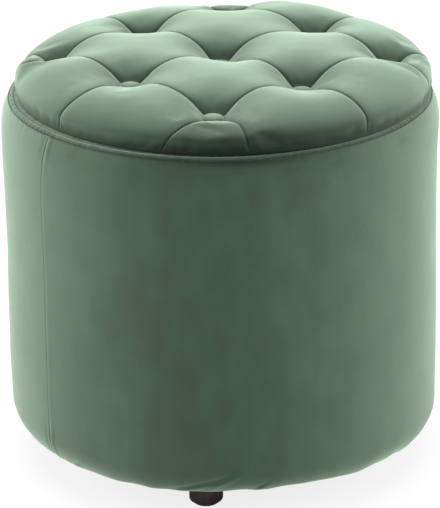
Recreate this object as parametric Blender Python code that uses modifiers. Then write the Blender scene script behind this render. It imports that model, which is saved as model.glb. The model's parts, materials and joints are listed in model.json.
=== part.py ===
"""Round storage pouf: an upholstered tub on four short feet, with a lift-off tufted lid.

Metres, +Z up. The origin is on the floor under the middle of the tub. The lid's rows of
buttons line up with X and Y, and the front faces -Y.
"""

import math

import bmesh
import bpy
from mathutils import Matrix, Vector

# Clearances
SEAT_GAP = 0.0003  # air between two pieces that touch
CLOTH_EASE = 0.0010  # room that a cloth edge leaves round what it meets
LID_PLAY = 0.0030  # room between the locating disc and the mouth, all round
CUT_OVERRUN = 0.0040  # how far a cutter stands out of what it cuts
MERGE_DISTANCE = 0.00001  # points of a turned profile this close on the axis are one

# Cloths, foams and boards, by thickness
VELVET = 0.0012
LINING = 0.0015
DUST_CLOTH = 0.0006
WALL_FOAM = 0.0120
SHELL_BOARD = 0.0030
PANEL_BOARD = 0.0120
RING_BOARD = 0.0150
PAD_BOARD = 0.0024
LID_BOARD = 0.0100
DISC_BOARD = 0.0120

# Tub
BODY_RADIUS = 0.2100
RING_WIDTH = 0.0249
BATTEN_HEIGHT = 0.3000
BATTEN_WIDTH = 0.0300
BATTEN_STANDOFF = 0.0030  # from the lining to the batten
BATTEN_EDGE = 0.0015
COVER_SAG = 0.0065  # how far the cover bulges below its hem
BOTTOM_ROUND_HEIGHT = 0.0360
HEM_WIDTH = 0.0060
SHOULDER_HEIGHT = 0.0305
SHOULDER_INSET = 0.0032
PIPING_RADIUS = 0.00375
SKIRT_DROP = 0.0240  # how far the facing turns down into the mouth

# Feet
FOOT_INSET = 0.0600  # from the tub's side to the middle of a foot
FOOT_RADIUS = 0.0164
FOOT_HEIGHT = 0.0370
FOOT_EDGE = 0.0036
GLIDE_RADIUS = 0.0120
GLIDE_THICKNESS = 0.0020
BOLT_RADIUS = 0.0030
BOLT_GRIP = 0.0220  # how far a bolt goes into its foot
NUT_WALL = 0.0015
NUT_FLANGE_RADIUS = 0.0107
NUT_FLANGE = 0.0015

# Lid
LID_OVERHANG = 0.0012  # from the middle of the piping to the lid's widest point
LID_SIDE_FOAM = 0.0136
LIP_WIDTH = 0.0060
LIP_GAP = 0.0008
BELLY_RISE = 0.0142  # from the lid's hem to its widest point
CROWN_RISE = 0.0390  # from the widest point to the top of the middle pillows
TOP_EDGE_INSET = 0.0071  # where the tufted top turns over into the side
LID_HEM_WIDTH = 0.0210
CLOTH_RIM_WIDTH = 0.0140
STEP_RUN = 0.0020  # length of the slope where a cloth steps under a hem
PLEAT_INSET = 0.0018
OUTER_BUTTON_INSET = 0.0406  # from the lid's side to the outer buttons
BUTTON_RADIUS = 0.0105
BUTTON_DOME = 0.0042
BUTTON_EDGE = 0.0014
PIT_MARGIN = 0.0010  # flat cloth round a button
PIT_FOAM = 0.0077  # foam left under a pulled-down button
TWINE_RADIUS = 0.0008
TWINE_EASE = 0.0007
KNOT_RADIUS = 0.0022
KNOT_LENGTH = 0.0030
KNOT_EASE = 0.0008
SCREW_INSET = 0.0382  # from the locating disc's edge to the middle of a screw
SCREW_RADIUS = 0.0020
SCREW_HEAD_RADIUS = 0.0040
SCREW_HEAD = 0.0024
SCREW_COVER = 0.0030  # board left over a screw's point

# Counts and turns
ROUND_STEPS = 48
PIPING_STEPS = 8
FOOT_STEPS = 20
BUTTON_STEPS = 12
HOLE_STEPS = 12
TWINE_STEPS = 8
FEET = 4
BATTENS = 6
SCREWS = 4
FEET_TURN = math.radians(-94.6)
BATTEN_TURN = math.radians(30)
QUARTER_TURN = math.radians(90)
HALF_HOLE_TURN = math.pi / TWINE_STEPS
SHARP_ANGLE = math.radians(40)

# Shapes as shares of the sizes above
PIPING_DROP_SHARE = 0.65
BEND_SHARE = 0.70
BOTTOM_ROUND_SHARE = 0.82
BOTTOM_ANGLE_SHARES = (0.0, 0.27, 0.52, 0.76, 1.0)
SHOULDER_SHARES = (0.0, 0.40, 0.72, 1.0)
SAG_RUN_SHARE = 0.45
SAG_DROP_SHARE = 0.65
CREASE_SHARE = 0.72
CREASE_SHARPNESS = 0.5
CROWN_POWER = 3.6
CROWN_ROUNDNESS = 0.8
CELL_SHARES = (0.34, 0.66)
MARGIN_SHARE = 0.52
SIDE_ANGLE_SHARES = (0.0, 0.55, 1.0)
PLEAT_FADE_SHARES = (1.0, 0.6, 0.0)
LAST_CREST_SHARE = 1.5

# Radii of the tub, from outside in
cover_inner = BODY_RADIUS - VELVET
foam_outer = cover_inner - SEAT_GAP
foam_inner = foam_outer - WALL_FOAM
shell_outer = foam_inner - SEAT_GAP
shell_inner = shell_outer - SHELL_BOARD
ring_outer = shell_inner - SEAT_GAP
mouth_radius = ring_outer - RING_WIDTH
lining_outer = mouth_radius - SEAT_GAP
lining_inner = lining_outer - LINING
skirt_radius = mouth_radius - SEAT_GAP - VELVET
well_radius = min(lining_inner, skirt_radius)

# Heights of the tub, from the floor up
foot_base = GLIDE_THICKNESS + SEAT_GAP
foot_top = foot_base + FOOT_HEIGHT
dust_base = foot_top + SEAT_GAP
panel_base = dust_base + DUST_CLOTH + SEAT_GAP
panel_top = panel_base + PANEL_BOARD
ring_base = panel_top + SEAT_GAP + BATTEN_HEIGHT + SEAT_GAP
ring_top = ring_base + RING_BOARD
facing_top = ring_top + SEAT_GAP + VELVET
skirt_base = facing_top - SKIRT_DROP
hem_base = panel_base - SEAT_GAP - VELVET
cover_base = hem_base - COVER_SAG
cover_top = ring_top - PIPING_DROP_SHARE * PIPING_RADIUS
wrap_top = ring_top - PIPING_RADIUS - SEAT_GAP
pad_base = panel_top + SEAT_GAP

# Feet and the cloth round them
foot_ring = BODY_RADIUS - FOOT_INSET
dust_step = foot_ring + FOOT_RADIUS + CLOTH_EASE
hem_inner = dust_step + STEP_RUN + CLOTH_EASE
hem_outer = hem_inner + HEM_WIDTH
bottom_round_width = BOTTOM_ROUND_SHARE * (BODY_RADIUS - hem_outer)
nut_radius = BOLT_RADIUS + SEAT_GAP + NUT_WALL

# Piping and facing
piping_reach = PIPING_RADIUS + SEAT_GAP
piping_side = math.sqrt(piping_reach**2 - (PIPING_DROP_SHARE * PIPING_RADIUS) ** 2)
piping_ring = BODY_RADIUS - SHOULDER_INSET - VELVET - piping_side
facing_outer = piping_ring - PIPING_RADIUS - SEAT_GAP

# Lid, from its rest on the facing up
cloth_rim_base = facing_top + SEAT_GAP
lid_hem_base = cloth_rim_base + DUST_CLOTH + SEAT_GAP
lid_board_base = lid_hem_base + VELVET + SEAT_GAP
lid_board_top = lid_board_base + LID_BOARD
lid_cloth_base = lid_board_base - SEAT_GAP - DUST_CLOTH
disc_top = lid_cloth_base - SEAT_GAP
disc_base = disc_top - DISC_BOARD
disc_radius = well_radius - LID_PLAY
lid_radius = piping_ring + LID_OVERHANG
lid_board_radius = lid_radius - LID_SIDE_FOAM
lid_hem_outer = lid_board_radius + LIP_WIDTH
lid_hem_inner = lid_hem_outer - LID_HEM_WIDTH
belly_height = lid_hem_base + BELLY_RISE
top_edge_radius = lid_radius - TOP_EDGE_INSET
lid_foam_base = lid_board_top + SEAT_GAP
pit_height = lid_foam_base + PIT_FOAM + SEAT_GAP + VELVET
button_base = pit_height + SEAT_GAP
tuft_diagonal = lid_radius - OUTER_BUTTON_INSET
tuft_spacing = tuft_diagonal / math.sqrt(2)
pit_half = BUTTON_RADIUS + PIT_MARGIN
cell_lines = (0, pit_half, CELL_SHARES[0] * tuft_spacing, CELL_SHARES[1] * tuft_spacing,
              tuft_spacing - pit_half, tuft_spacing)
CELL_STEPS = len(cell_lines) - 1
MARGIN_STEPS = 3
HALF_STEPS = CELL_STEPS + MARGIN_STEPS


def clear_scene():
    """Removes every object that the scene starts with."""
    for old in list(bpy.data.objects):
        bpy.data.objects.remove(old, do_unlink=True)


def new_collection(name):
    """A collection of that name, linked to the scene."""
    made = bpy.data.collections.new(name)
    bpy.context.scene.collection.children.link(made)
    return made


def new_material(name, colour, roughness, metallic=0.0):
    """A Principled material of one colour."""
    made = bpy.data.materials.new(name)
    made.use_nodes = True
    shader = made.node_tree.nodes["Principled BSDF"]
    shader.inputs["Base Color"].default_value = (*colour, 1.0)
    shader.inputs["Roughness"].default_value = roughness
    shader.inputs["Metallic"].default_value = metallic
    return made


def new_object(name, mesh, home, parent=None, material=None):
    """An object that holds the mesh, in its collection and under its parent."""
    made = bpy.data.objects.new(name, mesh)
    home.objects.link(made)
    made.parent = parent
    if material and not mesh.materials:
        mesh.materials.append(material)
    return made


def new_empty(name, home):
    """An empty that a sub-assembly hangs from."""
    made = bpy.data.objects.new(name, None)
    home.objects.link(made)
    return made


def finish_mesh(mesh_builder, name):
    """Turns a bmesh into a mesh and frees it."""
    mesh = bpy.data.meshes.new(name)
    mesh_builder.to_mesh(mesh)
    mesh_builder.free()
    return mesh


def shade_round(mesh):
    """Smooth faces with the corners kept sharp."""
    mesh.shade_smooth()
    mesh.set_sharp_from_angle(angle=SHARP_ANGLE)


def profile_mesh(name, points, closed):
    """A line of (radius, height) points in the XZ plane, for a Screw to turn."""
    mesh = bpy.data.meshes.new(name)
    last = len(points) if closed else len(points) - 1
    edges = [(i, (i + 1) % len(points)) for i in range(last)]
    mesh.from_pydata([(radius, 0, height) for radius, height in points], edges, [])
    return mesh


def add_screw(made, steps):
    """A full turn about Z that joins up with itself."""
    turn = made.modifiers.new("turn", "SCREW")
    turn.axis = "Z"
    turn.angle = math.tau
    turn.steps = steps
    turn.render_steps = steps
    turn.use_merge_vertices = True
    turn.merge_threshold = MERGE_DISTANCE
    turn.use_smooth_shade = True


def add_turned(name, points, home, parent, material, steps=ROUND_STEPS, closed=True):
    """A turned solid. Its profile runs down the outer side; a closed one is a ring."""
    made = new_object(name, profile_mesh(name, points, closed), home, parent, material)
    add_screw(made, steps)
    return made


def add_turned_cloth(name, points, thickness, home, parent, material):
    """A turned sheet with its face on the profile and its thickness behind it."""
    made = add_turned(name, points, home, parent, material, closed=False)
    add_thickness(made, thickness)
    return made


def add_thickness(made, thickness):
    """Gives a sheet its thickness, behind its face."""
    wall = made.modifiers.new("thickness", "SOLIDIFY")
    wall.thickness = thickness
    wall.offset = -1
    wall.use_even_offset = True


def cylinder_mesh(name, places, radius, base, top, steps, turn=0.0):
    """Closed cylinders of one size, standing at each (x, y) place, in one mesh."""
    built = bmesh.new()
    for x, y in places:
        stand = Matrix.Translation((x, y, (base + top) / 2)) @ Matrix.Rotation(turn, 4, "Z")
        bmesh.ops.create_cone(built, cap_ends=True, segments=steps, radius1=radius,
                              radius2=radius, depth=top - base, matrix=stand)
    return finish_mesh(built, name)


def add_disc(name, radius, base, top, home, parent, material, steps=ROUND_STEPS):
    """A flat round board."""
    mesh = cylinder_mesh(name, [(0, 0)], radius, base, top, steps)
    made = new_object(name, mesh, home, parent, material)
    shade_round(mesh)
    return made


def add_cutter(name, places, radius, base, top, home, steps=HOLE_STEPS, turn=0.0):
    """Hidden cylinders that holes are cut with."""
    mesh = cylinder_mesh(name, places, radius, base, top, steps, turn)
    made = new_object(name, mesh, home)
    made.hide_render = True
    made.display_type = "WIRE"
    return made


def cut(made, cutter):
    """Takes the cutter out of the piece."""
    hole = made.modifiers.new(cutter.name, "BOOLEAN")
    hole.operation = "DIFFERENCE"
    hole.solver = "EXACT"
    hole.object = cutter


def ring_places(radius, count, turn):
    """Evenly spaced (x, y) places on a circle."""
    angles = [turn + math.tau * i / count for i in range(count)]
    return [(radius * math.cos(angle), radius * math.sin(angle)) for angle in angles]


def parallel(points, distance):
    """The line moved by a distance to its right-hand side, with mitred corners."""
    line = [Vector(point) for point in points]
    sides = []
    for start, end in zip(line, line[1:]):
        along = (end - start).normalized()
        sides.append(Vector((along.y, -along.x)))
    moved = []
    for i, point in enumerate(line):
        before = sides[max(i - 1, 0)]
        after = sides[min(i, len(sides) - 1)]
        mitre = (before + after).normalized()
        moved.append(tuple(point + mitre * (distance / mitre.dot(before))))
    return moved


def bottom_round():
    """(radius, height) points of the cover's bottom edge, from the side down and in."""
    middle_radius = BODY_RADIUS - bottom_round_width
    middle_height = cover_base + BOTTOM_ROUND_HEIGHT
    points = []
    for share in BOTTOM_ANGLE_SHARES:
        angle = QUARTER_TURN * share
        points.append((middle_radius + bottom_round_width * math.cos(angle),
                       middle_height - BOTTOM_ROUND_HEIGHT * math.sin(angle)))
    return points


def shoulder(top):
    """(radius, height) points where the cover's side curves in, from a top height down."""
    points = []
    start = cover_top - SHOULDER_HEIGHT
    for share in reversed(SHOULDER_SHARES):
        height = start + share * (top - start)
        climbed = (height - start) / SHOULDER_HEIGHT
        points.append((BODY_RADIUS - SHOULDER_INSET * climbed**2, height))
    return points


def sag_point():
    """The point between the hem and the lowest line of the cover."""
    round_inner = BODY_RADIUS - bottom_round_width
    return (round_inner + SAG_RUN_SHARE * (hem_outer - round_inner),
            cover_base + (1 - SAG_DROP_SHARE) * COVER_SAG)


def build_cover(home, parent, velvet):
    """The velvet sleeve, from the piping down and under to its hem."""
    line = shoulder(cover_top) + bottom_round()
    line += [sag_point(), (hem_outer, hem_base), (hem_inner, hem_base)]
    add_turned_cloth("outer_cover", line, VELVET, home, parent, velvet)


def build_wrap(home, parent, foam):
    """The foam round the wall and under its bottom edge, held in by the cover."""
    line = shoulder(wrap_top) + bottom_round() + [sag_point()]
    skin = parallel(line, VELVET + SEAT_GAP)
    skin[0] = (skin[0][0], wrap_top)
    tuck_radius = skin[-1][0]
    under = panel_base - SEAT_GAP
    back = [(tuck_radius, under), (foam_inner, under), (foam_inner, wrap_top)]
    add_turned("foam_wrap", skin + back, home, parent, foam)


def ring_profile(inner, outer, base, top):
    """The four corners of a ring's section, down its outer side first."""
    return [(outer, top), (outer, base), (inner, base), (inner, top)]


def build_frame(home, cutters, parent, board, steel):
    """Floor panel, wall shell, posts and top ring, with the feet's tee nuts."""
    panel = add_disc("floor_panel", ring_outer, panel_base, panel_top, home, parent, board)
    places = ring_places(foot_ring, FEET, FEET_TURN)
    bore_radius = nut_radius + SEAT_GAP
    cut(panel, add_cutter("nut_bores", places, bore_radius, panel_base - CUT_OVERRUN,
                          panel_top + CUT_OVERRUN, cutters))
    flange_base = panel_top - NUT_FLANGE - SEAT_GAP
    cut(panel, add_cutter("flange_pockets", places, NUT_FLANGE_RADIUS + SEAT_GAP,
                          flange_base, panel_top + CUT_OVERRUN, cutters))
    shell = ring_profile(shell_inner, shell_outer, panel_base, ring_top)
    add_turned("tub_shell", shell, home, parent, board)
    ring = ring_profile(mouth_radius, ring_outer, ring_base, ring_top)
    add_turned("top_ring", ring, home, parent, board)
    build_battens(home, parent, board)
    build_tee_nuts(places, home, parent, steel)


def build_battens(home, parent, board):
    """Upright posts between the floor panel and the top ring, against the shell."""
    shell_flat = shell_inner * math.cos(math.pi / ROUND_STEPS) - SEAT_GAP
    outer_face = math.sqrt(shell_flat**2 - (BATTEN_WIDTH / 2) ** 2)
    inner_face = mouth_radius + BATTEN_STANDOFF
    base = panel_top + SEAT_GAP
    middle = Vector(((inner_face + outer_face) / 2, 0, base + BATTEN_HEIGHT / 2))
    size = Vector((outer_face - inner_face, BATTEN_WIDTH, BATTEN_HEIGHT))
    for i in range(BATTENS):
        built = bmesh.new()
        bmesh.ops.create_cube(built, size=1, matrix=Matrix.Translation(middle)
                              @ Matrix.Diagonal((*size, 1)))
        post = new_object(f"batten_{i + 1}", finish_mesh(built, "batten"), home,
                          parent, board)
        post.rotation_euler.z = BATTEN_TURN + math.tau * i / BATTENS
        edge = post.modifiers.new("edges", "BEVEL")
        edge.width = BATTEN_EDGE
        edge.segments = 1


def build_tee_nuts(places, home, parent, steel):
    """A flanged nut let into the floor panel over each foot."""
    bore = BOLT_RADIUS + SEAT_GAP
    barrel_base = panel_base + SEAT_GAP
    flange_base = panel_top - NUT_FLANGE
    section = [(NUT_FLANGE_RADIUS, panel_top), (NUT_FLANGE_RADIUS, flange_base),
               (nut_radius, flange_base), (nut_radius, barrel_base),
               (bore, barrel_base), (bore, panel_top)]
    for i, (x, y) in enumerate(places):
        nut = add_turned(f"tee_nut_{i + 1}", section, home, parent, steel, HOLE_STEPS)
        nut.location = (x, y, 0)


def build_rim(home, parent, velvet):
    """The piping round the top edge and the facing that turns down into the mouth."""
    bpy.ops.mesh.primitive_torus_add(
        major_radius=piping_ring, minor_radius=PIPING_RADIUS, major_segments=ROUND_STEPS,
        minor_segments=PIPING_STEPS, location=(0, 0, ring_top),
    )
    piping = bpy.context.object
    piping.name = "rim_piping"
    piping.data.name = "rim_piping"
    for other in list(piping.users_collection):
        other.objects.unlink(piping)
    home.objects.link(piping)
    piping.parent = parent
    piping.data.materials.append(velvet)
    piping.data.shade_smooth()
    bend = BEND_SHARE * VELVET
    line = [(skirt_radius, skirt_base), (skirt_radius, facing_top - bend),
            (skirt_radius + bend, facing_top), (facing_outer, facing_top)]
    add_turned_cloth("rim_facing", line, VELVET, home, parent, velvet)


def build_lining(home, cutters, parent, black_cloth, lining_cloth):
    """The well's cloth tube and floor pad, and the cloth under the base."""
    tube = ring_profile(lining_inner, lining_outer, pad_base, skirt_base - SEAT_GAP)
    add_turned("inner_lining", tube, home, parent, lining_cloth)
    add_disc("inner_floor_pad", lining_inner - SEAT_GAP, pad_base,
             pad_base + PAD_BOARD, home, parent, lining_cloth)
    rim_base = hem_base - SEAT_GAP - DUST_CLOTH
    line = [(hem_outer, rim_base), (dust_step + STEP_RUN, rim_base),
            (dust_step, dust_base), (0, dust_base)]
    cover = add_turned_cloth("dust_cover", line, DUST_CLOTH, home, parent, black_cloth)
    places = ring_places(foot_ring, FEET, FEET_TURN)
    cut(cover, add_cutter("bolt_slits", places, BOLT_RADIUS + SEAT_GAP,
                          dust_base - CUT_OVERRUN, panel_base, cutters))


def build_feet(home, parent, wood, felt, steel):
    """The round feet with their felt glides and the bolts that hold them."""
    section = [(0, foot_top), (FOOT_RADIUS, foot_top),
               (FOOT_RADIUS, foot_base + FOOT_EDGE),
               (FOOT_RADIUS - FOOT_EDGE * (1 - math.sqrt(0.5)),
                foot_base + FOOT_EDGE * (1 - math.sqrt(0.5))),
               (FOOT_RADIUS - FOOT_EDGE, foot_base), (0, foot_base)]
    hole_radius = BOLT_RADIUS + SEAT_GAP
    hole_floor = foot_top - BOLT_GRIP - SEAT_GAP
    section[0:1] = [(0, hole_floor), (hole_radius, hole_floor), (hole_radius, foot_top)]
    bolt_tip = panel_top - NUT_FLANGE
    bolt_base = foot_top - BOLT_GRIP
    for i, (x, y) in enumerate(ring_places(foot_ring, FEET, FEET_TURN)):
        foot = add_turned(f"foot_{i + 1}", section, home, parent, wood, FOOT_STEPS, False)
        foot.location = (x, y, 0)
        glide = add_disc(f"foot_glide_{i + 1}", GLIDE_RADIUS, 0, GLIDE_THICKNESS,
                         home, parent, felt, FOOT_STEPS)
        glide.location = (x, y, 0)
        bolt = add_disc(f"foot_bolt_{i + 1}", BOLT_RADIUS, bolt_base, bolt_tip,
                        home, parent, steel, HOLE_STEPS)
        bolt.location = (x, y, 0)


def crown_height(radius):
    """Height of the lid's crown, before the buttons pull it down."""
    share = min(radius / lid_radius, 1.0)
    return belly_height + CROWN_RISE * (1 - share**CROWN_POWER) ** CROWN_ROUNDNESS


def pillow_share(across, along):
    """How far the cloth rises from pit to crown, 0 at a button and 1 on a pillow."""
    climbs = []
    for place in (across, along):
        past = min(abs(place), LAST_CREST_SHARE * tuft_spacing)
        climbs.append(abs(math.sin(math.pi * past / tuft_spacing)) ** CREASE_SHARPNESS)
    first, second = climbs
    return CREASE_SHARE * (first + second) + (1 - 2 * CREASE_SHARE) * first * second


def in_pit(across, along):
    """True on the flat cloth that a button pulls down."""
    for place in (across, along):
        nearest = max(-1, min(1, round(place / tuft_spacing))) * tuft_spacing
        if abs(place - nearest) > pit_half + SEAT_GAP:
            return False
    return True


def edge_angle(step):
    """Angle on the lid's edge of a grid line, from the middle of one side of the tufts."""
    corner = math.asin(tuft_spacing / top_edge_radius)
    if abs(step) <= CELL_STEPS:
        return corner * step / CELL_STEPS
    rest = (QUARTER_TURN / 2 - corner) * (abs(step) - CELL_STEPS) / MARGIN_STEPS
    return math.copysign(corner + rest, step)


def margin_point(across_step, out_step):
    """A place outside the square of buttons, out along one side of it.

    Lines run straight out past the pits, or fan out from a corner button, and then on to
    the lid's edge.
    """
    inner = min(abs(across_step), CELL_STEPS)
    start = Vector((math.copysign(cell_lines[inner], across_step), tuft_spacing))
    fan = (abs(across_step) - inner) / MARGIN_STEPS * QUARTER_TURN / 2
    fan = math.copysign(fan, across_step)
    past_pit = start + pit_half * Vector((math.sin(fan), math.cos(fan)))
    angle = edge_angle(across_step)
    end = top_edge_radius * Vector((math.sin(angle), math.cos(angle)))
    return (start, past_pit, past_pit.lerp(end, MARGIN_SHARE), end)[out_step]


def plan_point(column, row):
    """Where a point of the square grid lies on the lid, along the two ways of pleats."""
    out_column = max(abs(column) - CELL_STEPS, 0)
    out_row = max(abs(row) - CELL_STEPS, 0)
    if not out_column and not out_row:
        return Vector((math.copysign(cell_lines[abs(column)], column),
                       math.copysign(cell_lines[abs(row)], row)))
    if out_row >= out_column:
        spread = column
        if out_column:
            share = out_column / out_row
            spread = math.copysign(CELL_STEPS + MARGIN_STEPS * share, column)
        place = margin_point(spread, out_row)
        return Vector((place.x, math.copysign(place.y, row)))
    turned = plan_point(row, column)
    return Vector((turned.y, turned.x))


def lid_surface():
    """The lid's velvet as a sheet: tufted top, sides and hem.

    The grid's lines run along the pleats, so it is turned an eighth of a turn at the end.
    """
    built = bmesh.new()
    bmesh.ops.create_grid(built, x_segments=2 * HALF_STEPS, y_segments=2 * HALF_STEPS,
                          size=HALF_STEPS)
    for vert in built.verts:
        place = plan_point(round(vert.co.x), round(vert.co.y))
        rise = 0 if in_pit(*place) else pillow_share(*place)
        crown = crown_height(place.length)
        vert.co = (place.x, place.y, pit_height + rise * (crown - pit_height))
    rim = [edge for edge in built.edges if edge.is_boundary]
    for angle_share, fade in zip(SIDE_ANGLE_SHARES, PLEAT_FADE_SHARES):
        angle = QUARTER_TURN * angle_share
        width = lid_radius - lid_hem_outer
        radius = lid_hem_outer + width * math.cos(angle)
        height = belly_height - BELLY_RISE * math.sin(angle)
        rim = extrude_rim(built, rim, radius, height, fade)
    extrude_rim(built, rim, lid_hem_inner, lid_hem_base, 0)
    built.transform(Matrix.Rotation(QUARTER_TURN / 2, 4, "Z"))
    bmesh.ops.recalc_face_normals(built, faces=built.faces)
    if max(built.faces, key=lambda face: face.calc_center_median().z).normal.z < 0:
        bmesh.ops.reverse_faces(built, faces=built.faces)
    bmesh.ops.triangulate(built, faces=built.faces, quad_method="SHORT_EDGE")
    return built


def extrude_rim(built, rim, radius, height, fade):
    """Carries the sheet's edge on to another ring, drawn in where a pleat crosses it."""
    grown = bmesh.ops.extrude_edge_only(built, edges=rim)["geom"]
    for vert in grown:
        if isinstance(vert, bmesh.types.BMVert):
            angle = math.atan2(vert.co.y, vert.co.x)
            drawn_in = fade * PLEAT_INSET * pleat_depth(angle)
            vert.co = ((radius - drawn_in) * math.cos(angle),
                       (radius - drawn_in) * math.sin(angle), height)
    return [edge for edge in grown if isinstance(edge, bmesh.types.BMEdge)]


def pleat_depth(angle):
    """1 where a pleat runs over the lid's side, falling to 0 a step away from it."""
    side = angle - QUARTER_TURN * round(angle / QUARTER_TURN)
    corner = edge_angle(CELL_STEPS)
    nearest = min(abs(side), abs(abs(side) - corner))
    return max(0.0, 1 - nearest / (corner / CELL_STEPS / 2))


def button_places():
    """(x, y) of the nine buttons, row by row from the front."""
    half = tuft_diagonal / 2
    places = [(0, -2), (-1, -1), (1, -1), (-2, 0), (0, 0), (2, 0), (-1, 1), (1, 1), (0, 2)]
    return [(column * half, row * half) for column, row in places]


def build_lid_cover(home, parent, velvet, holes):
    """The tufted velvet, with a hole for each button's twine."""
    built = lid_surface()
    cover = new_object("lid_cover", finish_mesh(built, "lid_cover"), home, parent, velvet)
    cover.data.shade_smooth()
    add_thickness(cover, VELVET)
    cut(cover, holes)


def inner_face(built, depth, home):
    """The sheet moved in by a depth, as a bmesh, with the corners kept even."""
    outer_count = len(built.verts)
    sheet = new_object("sheet", finish_mesh(built, "sheet"), home)
    add_thickness(sheet, depth)
    graph = bpy.context.evaluated_depsgraph_get()
    graph.update()
    thick = bpy.data.meshes.new_from_object(sheet.evaluated_get(graph))
    bpy.data.objects.remove(sheet, do_unlink=True)
    inner = bmesh.new()
    inner.from_mesh(thick)
    bpy.data.meshes.remove(thick)
    inner.verts.ensure_lookup_table()
    bmesh.ops.delete(inner, geom=inner.verts[:outer_count], context="VERTS")
    return inner


def build_lid_foam(home, parent, foam, holes):
    """The foam under the velvet, with the same pillows and a lip round the board."""
    built = lid_surface()
    inner = inner_face(built, VELVET + SEAT_GAP, home)
    hem = {vert for vert in inner.verts if vert.is_boundary}
    bmesh.ops.delete(inner, geom=list(hem), context="VERTS")
    rim = [edge for edge in inner.edges if edge.is_boundary]
    for height in (lid_board_base, lid_foam_base):
        rim = extrude_rim(inner, rim, lid_board_radius + LIP_GAP, height, 0)
    bmesh.ops.contextual_create(inner, geom=rim)
    bmesh.ops.recalc_face_normals(inner, faces=inner.faces)
    pad = new_object("lid_foam", finish_mesh(inner, "lid_foam"), home, parent, foam)
    pad.data.shade_smooth()
    cut(pad, holes)


def build_buttons(home, parent, velvet, twine):
    """The covered buttons and the twine that ties each one down through the board."""
    dome_base = button_base + BUTTON_EDGE
    domed = BUTTON_DOME * math.sqrt(0.5)
    button = [(0, dome_base + BUTTON_DOME), (BUTTON_RADIUS * math.sqrt(0.5), dome_base + domed),
              (BUTTON_RADIUS, dome_base), (BUTTON_RADIUS - BUTTON_EDGE, button_base),
              (0, button_base)]
    top = button_base - SEAT_GAP
    knot_base = lid_board_base + SEAT_GAP
    cord = [(0, top), (TWINE_RADIUS, top), (TWINE_RADIUS, knot_base + KNOT_LENGTH),
            (KNOT_RADIUS, knot_base + KNOT_LENGTH / 2), (TWINE_RADIUS, knot_base),
            (0, knot_base)]
    for i, (x, y) in enumerate(button_places()):
        made = add_turned(f"tuft_button_{i + 1}", button, home, parent, velvet,
                          BUTTON_STEPS, False)
        made.location = (x, y, 0)
        tie = add_turned(f"button_twine_{i + 1}", cord, home, parent, twine,
                         TWINE_STEPS, False)
        tie.location = (x, y, 0)


def build_lid_boards(home, cutters, parent, board, black_cloth, steel, twine_holes):
    """The lid's board, the cloth under it and the locating disc with its screws."""
    pockets = add_cutter("knot_pockets", button_places(), KNOT_RADIUS + KNOT_EASE,
                         lid_board_base - CUT_OVERRUN,
                         lid_board_base + SEAT_GAP + KNOT_LENGTH + KNOT_EASE, cutters)
    places = ring_places(disc_radius - SCREW_INSET, SCREWS, 0)
    head_base = disc_base + SEAT_GAP
    head_top = head_base + SCREW_HEAD
    tip = lid_board_top - SCREW_COVER
    pilots = add_cutter("screw_pilots", places, SCREW_RADIUS + SEAT_GAP,
                        disc_base - CUT_OVERRUN, tip + SEAT_GAP, cutters)
    sinks = add_cutter("screw_sinks", places, SCREW_HEAD_RADIUS + SEAT_GAP,
                       disc_base - CUT_OVERRUN, head_top + SEAT_GAP, cutters)
    base = add_disc("lid_board", lid_board_radius, lid_board_base, lid_board_top,
                    home, parent, board)
    for cutter in (twine_holes, pockets, pilots):
        cut(base, cutter)
    step = disc_radius + CLOTH_EASE
    line = [(step + STEP_RUN + CLOTH_RIM_WIDTH, cloth_rim_base),
            (step + STEP_RUN, cloth_rim_base), (step, lid_cloth_base), (0, lid_cloth_base)]
    cloth = add_turned_cloth("lid_underside_cloth", line, DUST_CLOTH, home, parent,
                             black_cloth)
    cut(cloth, pilots)
    disc = add_disc("locating_disc", disc_radius, disc_base, disc_top, home, parent, board)
    cut(disc, pilots)
    cut(disc, sinks)
    section = [(0, tip), (SCREW_RADIUS, tip - SCREW_RADIUS), (SCREW_RADIUS, head_top),
               (SCREW_HEAD_RADIUS, head_top), (SCREW_HEAD_RADIUS, head_base),
               (0, head_base)]
    for i, (x, y) in enumerate(places):
        screw = add_turned(f"disc_screw_{i + 1}", section, home, parent, steel,
                           HOLE_STEPS, False)
        screw.location = (x, y, 0)


def main():
    """Builds the base and the lid of the pouf."""
    clear_scene()
    home = new_collection("storage_pouf")
    cutters = new_collection("cutters")
    base = new_empty("base", home)
    lid = new_empty("lid", home)
    velvet = new_material("green_velvet", (0.11, 0.21, 0.13), 0.9)
    foam = new_material("foam", (0.80, 0.76, 0.62), 0.95)
    board = new_material("board", (0.52, 0.38, 0.24), 0.7)
    wood = new_material("dark_stained_wood", (0.025, 0.018, 0.016), 0.4)
    steel = new_material("zinc_steel", (0.62, 0.62, 0.60), 0.35, 1.0)
    felt = new_material("grey_felt", (0.09, 0.09, 0.09), 1.0)
    black_cloth = new_material("black_dust_cloth", (0.012, 0.012, 0.013), 0.95)
    lining_cloth = new_material("grey_lining", (0.05, 0.05, 0.052), 0.9)
    twine = new_material("natural_twine", (0.55, 0.48, 0.36), 0.9)
    build_cover(home, base, velvet)
    build_wrap(home, base, foam)
    build_frame(home, cutters, base, board, steel)
    build_rim(home, base, velvet)
    build_lining(home, cutters, base, black_cloth, lining_cloth)
    build_feet(home, base, wood, felt, steel)
    holes = add_cutter("twine_holes", button_places(), TWINE_RADIUS + TWINE_EASE,
                       lid_board_base - CUT_OVERRUN, button_base + CUT_OVERRUN, cutters,
                       TWINE_STEPS, HALF_HOLE_TURN)
    build_lid_cover(home, lid, velvet, holes)
    build_lid_foam(home, lid, foam, holes)
    build_buttons(home, lid, velvet, twine)
    build_lid_boards(home, cutters, lid, board, black_cloth, steel, holes)


main()
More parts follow.
